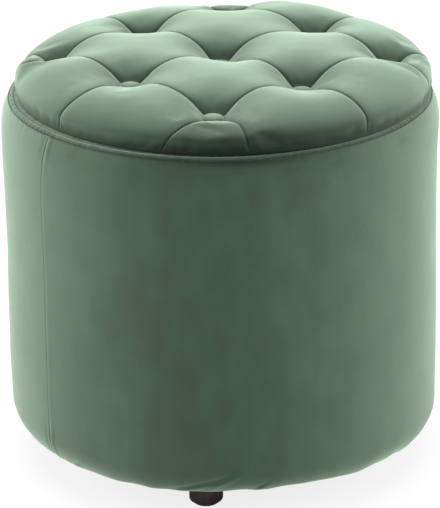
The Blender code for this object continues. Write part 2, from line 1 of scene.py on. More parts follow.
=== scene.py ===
"""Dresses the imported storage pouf: a velvet tub on short dark feet with a tufted lift-off lid.

Metres, +Z up, with the floor at zero and the front facing -Y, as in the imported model.
"""

import json
import logging
import math
from dataclasses import dataclass
from enum import Enum
from typing import Callable, Iterable, Sequence

import bpy
import numpy as np
from mathutils import Matrix, Vector


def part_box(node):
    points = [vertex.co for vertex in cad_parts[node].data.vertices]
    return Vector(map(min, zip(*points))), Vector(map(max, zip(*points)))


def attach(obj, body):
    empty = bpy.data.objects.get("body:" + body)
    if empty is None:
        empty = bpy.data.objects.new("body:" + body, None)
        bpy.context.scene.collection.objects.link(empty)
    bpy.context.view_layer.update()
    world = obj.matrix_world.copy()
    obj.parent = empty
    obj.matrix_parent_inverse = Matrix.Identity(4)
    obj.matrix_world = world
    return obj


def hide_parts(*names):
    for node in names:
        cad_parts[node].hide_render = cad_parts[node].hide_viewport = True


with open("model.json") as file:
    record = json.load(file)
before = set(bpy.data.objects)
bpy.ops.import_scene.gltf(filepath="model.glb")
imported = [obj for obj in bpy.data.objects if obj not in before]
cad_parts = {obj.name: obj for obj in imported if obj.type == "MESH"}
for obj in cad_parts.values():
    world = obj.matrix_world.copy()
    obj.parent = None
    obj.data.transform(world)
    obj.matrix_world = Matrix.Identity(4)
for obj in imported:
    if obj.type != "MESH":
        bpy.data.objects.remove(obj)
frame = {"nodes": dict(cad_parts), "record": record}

LOG = logging.getLogger("pouf")
Array = np.ndarray
Material = bpy.types.Material
Node = bpy.types.Node
Piece = bpy.types.Object
Socket = bpy.types.NodeSocket
Pair = tuple[float, float]
Triple = tuple[float, float, float]
Colour = Triple

CLOTH_SLACK = 0.0002  # how far a stretched cloth hangs between its edges
CLOTH_PULL = 0.030  # within this distance its hem pulls it flat
STAPLE_CROWN = (0.0007, 0.0088, 0.0005)  # the wire's width, and the crown's length and depth
STAPLE_BEND = (0.0005, 0.0003)  # how far the corner goes out and up
STAPLE_LEG = 0.0030
STAPLE_STRAY = (0.2, 0.001, 0.12)  # share of a step round, metres outwards, radians


class Body(Enum):
    """The two parts that move apart."""

    BASE = "base"
    LID = "lid"


class Slot(Enum):
    """The record's material slots."""

    VELVET = "green_velvet"
    FOAM = "foam"
    BOARD = "board"
    WOOD = "dark_stained_wood"
    STEEL = "zinc_steel"
    FELT = "grey_felt"
    BLACK_CLOTH = "black_dust_cloth"
    LINING = "grey_lining"
    TWINE = "natural_twine"


def smooth_step(low: float, high: float, value: Array) -> Array:
    """Eases from 0 at low to 1 at high.

    Args:
        low: Where the rise starts.
        high: Where the rise ends.
        value: The places to read it at.

    Returns:
        The eased share at each place.
    """
    share = np.clip((value - low) / (high - low), 0.0, 1.0)
    return share * share * (3 - 2 * share)


def soft_noise(points: Array, size: float, seed: int) -> Array:
    """Smooth hills and hollows from a few crossed waves.

    Args:
        points: Places as rows of two or three coordinates.
        size: The rough distance between two hills.
        seed: Picks the pattern.

    Returns:
        Heights of about -1 to 1.
    """
    draw = np.random.default_rng(seed)
    total = np.zeros(len(points))
    waves = 9
    for _ in range(waves):
        direction = draw.normal(size=points.shape[1])
        direction /= np.linalg.norm(direction)
        pitch = size * draw.uniform(0.7, 1.5)
        phase = draw.uniform(0, math.tau)
        total += np.sin(points @ direction * math.tau / pitch + phase)
    return total / math.sqrt(waves * 2)


def cubic(start: Sequence[float], lead: Sequence[float], reach: Sequence[float],
          end: Sequence[float], steps: int) -> Array:
    """Points on a cubic Bezier curve.

    Args:
        start: First point.
        lead: Handle of the first point.
        reach: Handle of the last point.
        end: Last point.
        steps: How many equal steps of the parameter.

    Returns:
        Rows of coordinates, one more than the steps.
    """
    t = np.linspace(0, 1, steps + 1)[:, None]
    a, b, c, d = (np.array(p, float) for p in (start, lead, reach, end))
    return (1 - t)**3 * a + 3 * (1 - t)**2 * t * b + 3 * (1 - t) * t**2 * c + t**3 * d


def hill(place: Array, middle: float, width: float) -> Array:
    """Height of a smooth hill that is 1 at its middle."""
    return np.exp(-((place - middle) / width) ** 2)


def degrees_apart(bearing: Array, middle: float) -> Array:
    """How far each bearing lies past another one, from -180 to 180."""
    return (bearing - middle + 180) % 360 - 180


def on_ring(radius: float | Array, angle: Array) -> Array:
    """Places round the upright axis, as rows of two coordinates."""
    return np.stack([radius * np.cos(angle), radius * np.sin(angle)], axis=1)


def round_form(radius: float | Array, angle: Array, height: Array) -> Array:
    """Points round the upright axis, as rows of three coordinates."""
    return np.concatenate([on_ring(radius, angle), height[:, None]], axis=1)


def far_from(points: Array, x: float, y: float) -> Array:
    """How far points lie from a place in the plan."""
    return np.hypot(points[:, 0] - x, points[:, 1] - y)


def standing(node: str) -> tuple[Pair, float, float, float]:
    """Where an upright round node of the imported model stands.

    Args:
        node: The node's name.

    Returns:
        Its axis in the plan, its radius, and its lowest and highest point.
    """
    low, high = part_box(node)
    middle = ((low.x + high.x) / 2, (low.y + high.y) / 2)
    return middle, (high.x - low.x) / 2, low.z, high.z


def deselect() -> None:
    """Leaves object mode with nothing selected."""
    if bpy.context.object and bpy.context.object.mode != "OBJECT":
        bpy.ops.object.mode_set(mode="OBJECT")
    bpy.ops.object.select_all(action="DESELECT")


def pick(piece: Piece) -> None:
    """Makes one piece the only selected and active one.

    Args:
        piece: The piece.
    """
    deselect()
    piece.select_set(True)
    bpy.context.view_layer.objects.active = piece


def read_points(piece: Piece) -> Array:
    """Reads a mesh's points.

    Args:
        piece: The piece.

    Returns:
        Rows of three coordinates.
    """
    flat = np.empty(len(piece.data.vertices) * 3)
    piece.data.vertices.foreach_get("co", flat)
    return flat.reshape(-1, 3)


def write_points(piece: Piece, points: Array) -> None:
    """Puts the mesh's points at new places."""
    piece.data.vertices.foreach_set("co", points.astype(np.float32).ravel())
    piece.data.update()


def write_mask(piece: Piece, name: str, values: Array) -> None:
    """Keeps one number for each point of the mesh, for a material to read."""
    made = piece.data.attributes.new(name, "FLOAT", "POINT")
    made.data.foreach_set("value", values.astype(np.float32))


def cloth_grid(name: str, columns: int, rows: int) -> tuple[Piece, Array]:
    """A flat cloth of square cells, to be laid over a form.

    Args:
        name: The piece's name.
        columns: Cells across.
        rows: Cells along.

    Returns:
        The piece, and the whole-number column and row of each of its points.
    """
    deselect()
    bpy.ops.mesh.primitive_grid_add(x_subdivisions=columns, y_subdivisions=rows, size=2)
    piece = bpy.context.object
    piece.name = name
    piece.data.name = name
    flat = read_points(piece)
    places = np.stack([(flat[:, 0] + 1) / 2 * columns, (flat[:, 1] + 1) / 2 * rows], axis=1)
    return piece, np.rint(places).astype(int)


def face_outwards() -> None:
    """Turns every face of the edited mesh outwards and leaves edit mode."""
    bpy.ops.mesh.select_all(action="SELECT")
    bpy.ops.mesh.normals_make_consistent(inside=False)
    bpy.ops.object.mode_set(mode="OBJECT")


def weld(piece: Piece, distance: float = 0.00002) -> None:
    """Joins points that meet and turns every face outwards.

    Args:
        piece: The piece.
        distance: How near two points are to be one.
    """
    pick(piece)
    bpy.ops.object.mode_set(mode="EDIT")
    bpy.ops.mesh.select_all(action="SELECT")
    bpy.ops.mesh.remove_doubles(threshold=distance)
    face_outwards()


def apply_modifier(piece: Piece, kind: str, **settings: object) -> None:
    """Adds a modifier to a piece and applies it.

    Args:
        piece: The piece.
        kind: The modifier's type.
        settings: The modifier's own options.
    """
    pick(piece)
    made = piece.modifiers.new(kind.lower(), kind)
    for key, value in settings.items():
        setattr(made, key, value)
    bpy.ops.object.modifier_apply(modifier=made.name)


def smooth(piece: Piece, degrees: float | None = None) -> None:
    """Shades a piece smooth.

    Args:
        piece: The piece.
        degrees: Corners above this angle stay sharp. None keeps no corner.
    """
    pick(piece)
    if degrees is None:
        bpy.ops.object.shade_smooth()
    else:
        bpy.ops.object.shade_smooth_by_angle(angle=math.radians(degrees))


def turned(name: str, outline: Sequence[Pair], steps: int, centre: Pair = (0, 0)) -> Piece:
    """Raises a round piece ring by ring from a circle, as on a lathe.

    Args:
        name: The piece's name.
        outline: (radius, height) of each ring. A radius of zero closes the piece.
        steps: Points on each ring.
        centre: Where its axis stands.

    Returns:
        The piece, with its place in its mesh.
    """
    deselect()
    x, y = centre
    radius, height = outline[0]
    closed_start = radius == 0
    if closed_start:
        radius, height = outline[1]
    bpy.ops.mesh.primitive_circle_add(vertices=steps, radius=radius, location=(x, y, height),
                                      fill_type="TRIFAN" if closed_start else "NOTHING")
    piece = bpy.context.object
    piece.name = name
    piece.data.name = name
    bpy.ops.object.transform_apply(location=True, rotation=True, scale=True)
    bpy.ops.object.mode_set(mode="EDIT")
    if closed_start:
        lift_middle(piece, (x, y, outline[0][1]), radius / 2)
    select_rim()
    for next_radius, next_height in outline[2 if closed_start else 1:]:
        bpy.ops.mesh.extrude_edges_move(
            TRANSFORM_OT_translate={"value": (0, 0, next_height - height)})
        if next_radius == 0:
            bpy.ops.mesh.merge(type="CENTER")
            break
        ratio = next_radius / radius
        bpy.ops.transform.resize(value=(ratio, ratio, 1), center_override=(x, y, next_height))
        radius, height = next_radius, next_height
    face_outwards()
    return piece


def lift_middle(piece: Piece, tip: Sequence[float], reach: float) -> None:
    """Moves the middle point of a filled circle to the tip's height.

    Args:
        piece: The piece that is being edited.
        tip: Where the point goes.
        reach: How near the tip the point lies in the plan.
    """
    bpy.ops.object.mode_set(mode="OBJECT")
    for point in piece.data.vertices:
        if math.hypot(point.co.x - tip[0], point.co.y - tip[1]) < reach:
            point.co.z = tip[2]
    bpy.ops.object.mode_set(mode="EDIT")


def select_rim() -> None:
    """Selects the open edges of the mesh that is being edited."""
    bpy.ops.mesh.select_mode(type="EDGE")
    bpy.ops.mesh.select_all(action="DESELECT")
    bpy.ops.mesh.select_non_manifold(extend=False, use_wire=True, use_boundary=True,
                                     use_multi_face=False, use_non_contiguous=False,
                                     use_verts=False)


def puff_cloth(piece: Piece, held: Array, pressure: float, slack: float, limit: float,
               frames: int = 20) -> Array:
    """Lets a padded cloth swell and wrinkle between its stitches, as the filling pushes.

    Args:
        piece: The cloth.
        held: For each point, 1 where it is sewn down and 0 where it is free.
        pressure: The filling's push.
        slack: How much larger the cloth is cut than it lies, as a share.
        limit: The furthest that a point may move.
        frames: How long it runs.

    Returns:
        How far each point moved.
    """
    pick(piece)
    before = read_points(piece)
    group = piece.vertex_groups.new(name="sewn")
    for index in np.nonzero(held > 0.01)[0]:
        group.add([int(index)], float(held[index]), "REPLACE")
    cloth = piece.modifiers.new("cloth", "CLOTH")
    settings = cloth.settings
    settings.quality = 6
    settings.mass = 0.25
    settings.tension_stiffness = 15
    settings.compression_stiffness = 8
    settings.shear_stiffness = 5
    settings.bending_stiffness = 0.4
    settings.vertex_group_mass = group.name
    settings.shrink_min = -slack
    settings.use_pressure = True
    settings.uniform_pressure_force = pressure
    settings.effector_weights.gravity = 0
    cloth.point_cache.frame_start = 1
    cloth.point_cache.frame_end = frames
    for frame_number in range(1, frames + 1):
        bpy.context.scene.frame_set(frame_number)
    shaped = piece.evaluated_get(bpy.context.evaluated_depsgraph_get())
    move = read_points(shaped) - before
    piece.modifiers.remove(cloth)
    piece.vertex_groups.remove(group)
    bpy.context.scene.frame_set(1)
    length = np.maximum(np.linalg.norm(move, axis=1), 1e-9)
    LOG.info("%s swelled by up to %.1f mm, %.1f mm on average", piece.name,
             length.max() * 1000, length.mean() * 1000)
    move *= (limit * np.tanh(length / limit) / length)[:, None]
    write_points(piece, before + move)
    return move


def scale_uv(piece: Piece, across: float, along: float) -> None:
    """Makes the cloth's pattern map as large as its cut.

    Args:
        piece: The cloth.
        across: The cut's width.
        along: The cut's length.
    """
    layer = piece.data.uv_layers.active
    flat = np.empty(len(layer.data) * 2)
    layer.data.foreach_get("uv", flat)
    flat = flat.reshape(-1, 2) * (across, along)
    layer.data.foreach_set("uv", flat.ravel())


def cloth_disc(name: str, heights: Pair, radii: Triple, thickness: float, seed: int) -> Piece:
    """A round cloth under a board, with its rim stepped down over a hem.

    Args:
        name: The piece's name.
        heights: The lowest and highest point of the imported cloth.
        radii: Where the step starts and ends, and the rim.
        thickness: The cloth's thickness.
        seed: Picks its unevenness.

    Returns:
        The piece.
    """
    low, high = heights
    middle, rim = high - thickness / 2, low + thickness / 2
    start, end, edge = radii
    outline = [(0, middle)] + [(r, middle) for r in np.linspace(0.020, start, 9)]
    for across, down, level in ((0.3, -0.15, middle), (0.7, 0.15, rim)):
        outline.append((start + across * (end - start), level + down * (middle - rim)))
    outline += [(r, rim) for r in np.linspace(end, edge, 5)]
    piece = turned(name, outline, 160)
    points = read_points(piece)
    away = far_from(points, 0, 0)
    slack = 1 - smooth_step(start - CLOTH_PULL, start, away)
    points[:, 2] -= CLOTH_SLACK * slack * (1 + soft_noise(points[:, :2], 0.07, seed))
    write_points(piece, points)
    weld(piece)
    apply_modifier(piece, "SOLIDIFY", thickness=thickness, offset=0)
    smooth(piece, 50)
    return piece


def stapled_ring(name: str, radius: float, base: float, count: int, seed: int) -> Piece:
    """A ring of wire staples driven upwards.

    Args:
        name: The piece's name.
        radius: How far from the middle they stand.
        base: Height of their crowns' lower face.
        count: How many.
        seed: Picks how each one strays.

    Returns:
        All the staples as one piece.
    """
    deselect()
    crown = STAPLE_CROWN[1]
    bpy.ops.mesh.primitive_cube_add(size=1, location=(radius, 0, base + STAPLE_CROWN[2] / 2),
                                    scale=STAPLE_CROWN)
    first = bpy.context.object
    bpy.ops.object.transform_apply(location=True, rotation=True, scale=True)
    bpy.ops.object.mode_set(mode="EDIT")
    for way in (-1, 1):
        for push in ((0, way * STAPLE_BEND[0], STAPLE_BEND[1]), (0, 0, STAPLE_LEG)):
            pick_faces(first, lambda face, side=way: face.center.y * side > crown / 2 - 0.0001
                       and face.normal.y * side > 0.2)
            bpy.ops.mesh.extrude_region_move(TRANSFORM_OT_translate={"value": push})
    bpy.ops.object.mode_set(mode="OBJECT")
    draw = np.random.default_rng(seed)
    copies = []
    for number in range(count):
        round_way, outwards, twist = (draw.uniform(-most, most) for most in STAPLE_STRAY)
        turn = math.tau * (number + round_way) / count
        shift = Matrix.Translation((outwards, 0, 0))
        skew = (Matrix.Translation((radius, 0, 0)) @ Matrix.Rotation(twist, 4, "Z")
                @ Matrix.Translation((-radius, 0, 0)))
        mesh = first.data.copy()
        mesh.transform(Matrix.Rotation(turn, 4, "Z") @ shift @ skew)
        copy = bpy.data.objects.new(name, mesh)
        bpy.context.scene.collection.objects.link(copy)
        copies.append(copy)
    bpy.data.objects.remove(first)
    deselect()
    for copy in copies:
        copy.select_set(True)
    bpy.context.view_layer.objects.active = copies[0]
    bpy.ops.object.join()
    copies[0].data.name = name
    smooth(copies[0], 30)
    return copies[0]


def pick_faces(piece: Piece, wanted: Callable[[bpy.types.MeshPolygon], bool]) -> None:
    """Selects faces of the mesh that is being edited.

    Args:
        piece: The piece.
        wanted: Says of a face whether it is selected.
    """
    bpy.ops.mesh.select_mode(type="FACE")
    bpy.ops.mesh.select_all(action="DESELECT")
    bpy.ops.object.mode_set(mode="OBJECT")
    for face in piece.data.polygons:
        face.select = wanted(face)
    bpy.ops.object.mode_set(mode="EDIT")


class Wiring:
    """Adds nodes to a shader tree and joins them up."""

    def __init__(self, tree: bpy.types.NodeTree) -> None:
        """Works on one tree."""
        self.tree = tree

    def add(self, kind: str, inputs: dict[str | int, object] | None = None,
            **settings: object) -> Node:
        """Adds a node.

        Args:
            kind: The node's type name, without its ShaderNode prefix.
            inputs: Value or source socket for each input, by name or number.
            settings: The node's own options.

        Returns:
            The node.
        """
        node = self.tree.nodes.new(f"ShaderNode{kind}")
        for key, value in settings.items():
            setattr(node, key, value)
        for key, value in (inputs or {}).items():
            if isinstance(value, Socket):
                self.tree.links.new(value, node.inputs[key])
            else:
                node.inputs[key].default_value = value
        return node

    def maths(self, operation: str, *values: object) -> Socket:
        """The result of a Math node on numbers or sockets."""
        inputs = dict(enumerate(values))
        return self.add("Math", inputs, operation=operation).outputs[0]

    def noise(self, where: Socket, scale: float, detail: float = 2.0,
              roughness: float = 0.5) -> Socket:
        """The grey value of a noise texture."""
        inputs = {"Vector": where, "Scale": scale, "Detail": detail, "Roughness": roughness}
        return self.add("TexNoise", inputs).outputs[0]

    def stretch(self, where: Socket, scale: Sequence[float],
                turn: Sequence[float] = (0, 0, 0)) -> Socket:
        """Coordinates stretched and turned by a Mapping node."""
        inputs = {"Vector": where, "Scale": scale, "Rotation": turn}
        return self.add("Mapping", inputs).outputs[0]

    def blend(self, share: object, first: object, second: object) -> Socket:
        """A colour between two others.

        Args:
            share: How much of the second one shows, as a number or socket.
            first: A colour or socket.
            second: A colour or socket.

        Returns:
            The mixed colour.
        """
        node = self.add("Mix", data_type="RGBA")
        sockets = [s for s in node.inputs if s.enabled]
        for socket, value in zip(sockets, (share, first, second)):
            if isinstance(value, Socket):
                self.tree.links.new(value, socket)
            elif isinstance(value, tuple):
                socket.default_value = (*value, 1.0)
            else:
                socket.default_value = value
        return next(s for s in node.outputs if s.enabled)

    def bump(self, height: Socket, strength: float, distance: float) -> Socket:
        """The normal that a Bump node makes of heights."""
        inputs = {"Height": height, "Strength": strength, "Distance": distance}
        return self.add("Bump", inputs).outputs[0]

    def mask(self, name: str) -> Socket:
        """The numbers kept on the mesh under a name."""
        return self.add("Attribute", attribute_name=name).outputs["Fac"]

    def ramp(self, value: Socket, low: float, high: float, to_low: float = 0.0,
             to_high: float = 1.0) -> Socket:
        """A value carried from one range to another, without going past its ends."""
        inputs = {"Value": value, "From Min": low, "From Max": high, "To Min": to_low,
                  "To Max": to_high}
        return self.add("MapRange", inputs, clamp=True).outputs[0]


class Effect:
    """A shader node group that several finishes share."""

    def __init__(self, name: str, inputs: dict[str, float], outputs: Sequence[str],
                 build: Callable[[Wiring, Node], dict[str, Socket]]) -> None:
        """Makes the group.

        Args:
            name: The group's name.
            inputs: Its number inputs with their usual values, after its Vector.
            outputs: Its number outputs.
            build: Adds the nodes, and returns the socket for each output.
        """
        self.tree = bpy.data.node_groups.new(name, "ShaderNodeTree")
        face = self.tree.interface
        face.new_socket(name="Vector", in_out="INPUT", socket_type="NodeSocketVector")
        for key, value in inputs.items():
            socket = face.new_socket(name=key, in_out="INPUT", socket_type="NodeSocketFloat")
            socket.default_value = value
        for key in outputs:
            face.new_socket(name=key, in_out="OUTPUT", socket_type="NodeSocketFloat")
        source = self.tree.nodes.new("NodeGroupInput")
        target = self.tree.nodes.new("NodeGroupOutput")
        for key, socket in build(Wiring(self.tree), source).items():
            self.tree.links.new(socket, target.inputs[key])

    def place(self, wiring: Wiring, where: Socket, **values: object) -> Node:
        """Puts the group into a material.

        Args:
            wiring: The material's tree.
            where: The coordinates that it reads.
            values: Its inputs, with spaces written as underscores.

        Returns:
            The group's node.
        """
        node = wiring.tree.nodes.new("ShaderNodeGroup")
        node.node_tree = self.tree
        wiring.tree.links.new(where, node.inputs["Vector"])
        for key, value in values.items():
            node.inputs[key.replace("_", " ")].default_value = value
        return node


def build_pile(wiring: Wiring, source: Node) -> dict[str, Socket]:
    """Velvet pile: brushed clouds, fine flecks and the height of the tufts.

    Args:
        wiring: The group's tree.
        source: The group's inputs.

    Returns:
        The socket for each output.
    """
    where = source.outputs["Vector"]
    brushed = wiring.stretch(where, (1.0, 1.0, 0.35))
    broad = wiring.noise(brushed, 11.0, 3.0, 0.55)
    patches = wiring.noise(wiring.stretch(where, (1.0, 1.0, 0.6)), 38.0, 2.0, 0.5)
    clouds = wiring.maths("MULTIPLY_ADD", patches, 0.4, wiring.maths("MULTIPLY", broad, 0.6))
    tufts = wiring.noise(where, 1500.0, 1.0, 0.6)
    fuzz = wiring.noise(where, 420.0, 2.0, 0.5)
    lift = wiring.maths("MULTIPLY_ADD", fuzz, source.outputs["Fuzz"], tufts)
    return {"Clouds": wiring.ramp(clouds, 0.36, 0.64), "Fleck": tufts, "Height": lift}


def build_weave(wiring: Wiring, source: Node) -> dict[str, Socket]:
    """Plain weave: crossed threads, one over the other by turns.

    Args:
        wiring: The group's tree.
        source: The group's inputs.

    Returns:
        The socket for each output.
    """
    where = source.outputs["Vector"]
    pitch = source.outputs["Threads"]
    split = wiring.add("SeparateXYZ", {0: where})
    across = wiring.maths("MULTIPLY", split.outputs[0], pitch)
    along = wiring.maths("MULTIPLY", split.outputs[1], pitch)
    warp = wiring.maths("ABSOLUTE", wiring.maths("SINE", wiring.maths("MULTIPLY", across,
                                                                      math.pi)))
    weft = wiring.maths("ABSOLUTE", wiring.maths("SINE", wiring.maths("MULTIPLY", along,
                                                                      math.pi)))
    cells = wiring.maths("ADD", wiring.maths("FLOOR", across), wiring.maths("FLOOR", along))
    over = wiring.maths("MODULO", wiring.maths("ABSOLUTE", cells), 2.0)
    under = wiring.maths("SUBTRACT", 1.0, over)
    top = wiring.maths("ADD", wiring.maths("MULTIPLY", warp, over),
                       wiring.maths("MULTIPLY", weft, under))
    slub = wiring.noise(where, 60.0, 3.0, 0.6)
    return {"Thread": top, "Over": over, "Slub": slub}


def build_grain(wiring: Wiring, source: Node) -> dict[str, Socket]:
    """Wood grain: long fibres, pores and slow bands.

    Args:
        wiring: The group's tree.
        source: The group's inputs.

    Returns:
        The socket for each output.
    """
    where = source.outputs["Vector"]
    long_way = wiring.stretch(where, (1.0, 1.0, 0.06))
    fibres = wiring.noise(long_way, 700.0, 4.0, 0.6)
    bands = wiring.noise(wiring.stretch(where, (1.0, 1.0, 0.15)), 60.0, 3.0, 0.5)
    bands = wiring.maths("ADD", bands, wiring.maths("MULTIPLY", fibres, source.outputs["Fibre"]))
    pores = wiring.ramp(wiring.noise(long_way, 1600.0, 2.0, 0.7), 0.52, 0.72)
    return {"Bands": wiring.ramp(bands, 0.4, 0.95), "Pores": pores, "Fibres": fibres}


def build_mottle(wiring: Wiring, source: Node) -> dict[str, Socket]:
    """Loose fibres and flecks: felt, pressed board, foam and spun cloth.

    Args:
        wiring: The group's tree.
        source: The group's inputs.

    Returns:
        The socket for each output.
    """
    where = source.outputs["Vector"]
    scale = source.outputs["Scale"]
    fine = wiring.add("TexNoise", {"Vector": where, "Scale": scale, "Detail": 4.0}).outputs[0]
    cells = wiring.add("TexVoronoi", {"Vector": where, "Scale": scale})
    broad = wiring.add("TexNoise", {"Vector": where, "Detail": 2.0,
                                    "Scale": wiring.maths("MULTIPLY", scale, 0.06)})
    return {"Fine": fine, "Cells": cells.outputs["Distance"],
            "Broad": wiring.ramp(broad.outputs[0], 0.35, 0.65)}


class Workshop:
    """Holds the shared effects, and starts each material."""

    def __init__(self) -> None:
        """Builds every shared effect once."""
        self.pile = Effect("velvet_pile", {"Fuzz": 0.8}, ("Clouds", "Fleck", "Height"),
                           build_pile)
        self.weave = Effect("plain_weave", {"Threads": 900.0}, ("Thread", "Over", "Slub"),
                            build_weave)
        self.grain = Effect("wood_grain", {"Fibre": 0.5}, ("Bands", "Pores", "Fibres"),
                            build_grain)
        self.mottle = Effect("loose_fibres", {"Scale": 900.0}, ("Fine", "Cells", "Broad"),
                             build_mottle)

    @staticmethod
    def start(name: str, reads: str = "Object") -> tuple[Material, Wiring, Node, Socket]:
        """Starts a material.

        Args:
            name: The material's name.
            reads: Which coordinates its pattern follows.

        Returns:
            The material, its tree, its Principled shader and its coordinates.
        """
        material = bpy.data.materials.new(name)
        material.use_nodes = True
        wiring = Wiring(material.node_tree)
        where = wiring.add("TexCoord").outputs[reads]
        return material, wiring, material.node_tree.nodes["Principled BSDF"], where


def set_shader(wiring: Wiring, shader: Node, **values: object) -> None:
    """Sets or links sockets of a Principled shader.

    Args:
        wiring: The material's tree.
        shader: The shader.
        values: Number, colour or source for each socket, with spaces as underscores.
    """
    for key, value in values.items():
        socket = shader.inputs[key.replace("_", " ")]
        if isinstance(value, Socket):
            wiring.tree.links.new(value, socket)
        elif isinstance(value, tuple):
            socket.default_value = (*value, 1.0)
        else:
            socket.default_value = value


@dataclass(frozen=True)
class Velvet:
    """Short-pile velvet, dark where it faces the eye and pale where it turns away."""

    deep: Colour = (0.0245, 0.0548, 0.0282)
    brushed: Colour = (0.048, 0.096, 0.055)
    # the colour of the painted shade that is laid over the pile
    shade_tone: Colour = (0.003, 0.009, 0.005)
    sheen: Colour = (0.737, 0.93, 0.752)
    sheen_roughness: float = 0.53
    pile_depth: float = 0.0005

    def dress(self, shop: Workshop) -> Material:
        """Makes the material.

        Args:
            shop: The shared effects.

        Returns:
            The material.
        """
        material, wiring, shader, where = shop.start("green_velvet_pile")
        pile = shop.pile.place(wiring, where)
        # the nap mask holds the pile's own paler and darker patches, and painted shade as well
        lit = wiring.maths("MULTIPLY_ADD", wiring.mask("nap_and_shade"), 0.5, pile.outputs["Clouds"])
        colour = wiring.blend(wiring.ramp(lit, 0.0, 1.0), self.deep, self.brushed)
        fleck = wiring.ramp(pile.outputs["Fleck"], 0.3, 0.7, 0.0, 0.35)
        colour = wiring.blend(fleck, colour, self.brushed)
        # painted shade from the mesh's mask: pleats, pits, joins, the lid's lower side and the
        # rim under the lid
        colour = wiring.blend(wiring.mask("shade_mask"), colour, self.shade_tone)
        tufts = wiring.bump(pile.outputs["Height"], 0.35, self.pile_depth)
        upwards = wiring.add("CombineXYZ", {"Z": wiring.mask("lean")}).outputs[0]
        leaning = wiring.add("VectorMath", {0: tufts, 1: upwards}, operation="ADD")
        pile_way = wiring.add("VectorMath", {0: leaning.outputs[0]}, operation="NORMALIZE")
        set_shader(wiring, shader, Base_Color=colour, Roughness=0.9, Specular_IOR_Level=0.12,
                   Sheen_Weight=1.0, Sheen_Roughness=self.sheen_roughness,
                   Sheen_Tint=self.sheen, Normal=pile_way.outputs[0])
        return material


@dataclass(frozen=True)
class StainedWood:
    """Close-grained wood with a near-black stain and a satin lacquer."""

    stain: Colour = (0.016, 0.011, 0.010)
    rubbed: Colour = (0.060, 0.042, 0.036)
    relief: float = 0.0002

    def dress(self, shop: Workshop) -> Material:
        """Makes the material.

        Args:
            shop: The shared effects.

        Returns:
            The material.
        """
        material, wiring, shader, where = shop.start("dark_stained_wood_lacquered")
        grain = shop.grain.place(wiring, where)
        colour = wiring.blend(grain.outputs["Bands"], self.stain, self.rubbed)
        colour = wiring.blend(wiring.maths("MULTIPLY", grain.outputs["Pores"], 0.6), colour,
                              self.stain)
        rough = wiring.ramp(grain.outputs["Fibres"], 0.3, 0.7, 0.32, 0.46)
        pores = wiring.bump(grain.outputs["Fibres"], 0.2, self.relief)
        set_shader(wiring, shader, Base_Color=colour, Roughness=rough,
                   Specular_IOR_Level=0.45, Coat_Weight=0.25, Coat_Roughness=0.3,
                   Normal=pores)
        return material


@dataclass(frozen=True)
class WovenCloth:
    """Plain-woven lining cloth, patterned on its own cut."""

    name: str = "grey_lining_weave"
    warp: Colour = (0.060, 0.060, 0.063)
    weft: Colour = (0.034, 0.034, 0.036)
    threads: float = 900.0  # in a metre
    relief: float = 0.0003
    reads: str = "UV"

    def dress(self, shop: Workshop) -> Material:
        """Makes the material.

        Args:
            shop: The shared effects.

        Returns:
            The material.
        """
        material, wiring, shader, where = shop.start(self.name, self.reads)
        weave = shop.weave.place(wiring, where, Threads=self.threads)
        colour = wiring.blend(weave.outputs["Over"], self.warp, self.weft)
        shade = wiring.ramp(weave.outputs["Slub"], 0.35, 0.65, 0.0, 0.4)
        colour = wiring.blend(shade, colour, self.warp)
        threads = wiring.bump(weave.outputs["Thread"], 0.5, self.relief)
        set_shader(wiring, shader, Base_Color=colour, Roughness=0.85, Specular_IOR_Level=0.2,
                   Sheen_Weight=0.25, Sheen_Roughness=0.5, Normal=threads)
        return material


@dataclass(frozen=True)
class Mottled:
    """Felt, pressed board, foam or spun cloth: two tones and a fibrous bump."""

    name: str
    ground: Colour
    fleck: Colour
    scale: float
    roughness: float = 0.95
    relief: float = 0.0004
    sheen_weight: float = 0.0

    def dress(self, shop: Workshop) -> Material:
        """Makes the material.

        Args:
            shop: The shared effects.

        Returns:
            The material.
        """
        material, wiring, shader, where = shop.start(self.name)
        mottle = shop.mottle.place(wiring, where, Scale=self.scale)
        share = wiring.maths("MULTIPLY_ADD", mottle.outputs["Broad"], 0.35,
                             wiring.ramp(mottle.outputs["Fine"], 0.42, 0.66, 0.0, 0.65))
        colour = wiring.blend(share, self.ground, self.fleck)
        relief = wiring.maths("ADD", mottle.outputs["Fine"], mottle.outputs["Cells"])
        fibres = wiring.bump(relief, 0.45, self.relief)
        set_shader(wiring, shader, Base_Color=colour, Roughness=self.roughness,
                   Specular_IOR_Level=0.2, Sheen_Weight=self.sheen_weight, Normal=fibres)
        return material


@dataclass(frozen=True)
class ZincSteel:
    """Bright zinc plate with faint spangle and rubbed patches."""

    plate: Colour = (0.62, 0.62, 0.60)
    dull: Colour = (0.42, 0.42, 0.41)
    spangle: float = 420.0
    relief: float = 0.0001

    def dress(self, shop: Workshop) -> Material:
        """Makes the material.

        Args:
            shop: The shared effects.

        Returns:
            The material.
        """
        material, wiring, shader, where = shop.start("zinc_steel_plated")
        mottle = shop.mottle.place(wiring, where, Scale=self.spangle)
        colour = wiring.blend(mottle.outputs["Broad"], self.dull, self.plate)
        rough = wiring.ramp(mottle.outputs["Fine"], 0.3, 0.7, 0.28, 0.42)
        plating = wiring.bump(mottle.outputs["Fine"], 0.15, self.relief)
        set_shader(wiring, shader, Base_Color=colour, Metallic=1.0, Roughness=rough,
                   Normal=plating)
        return material


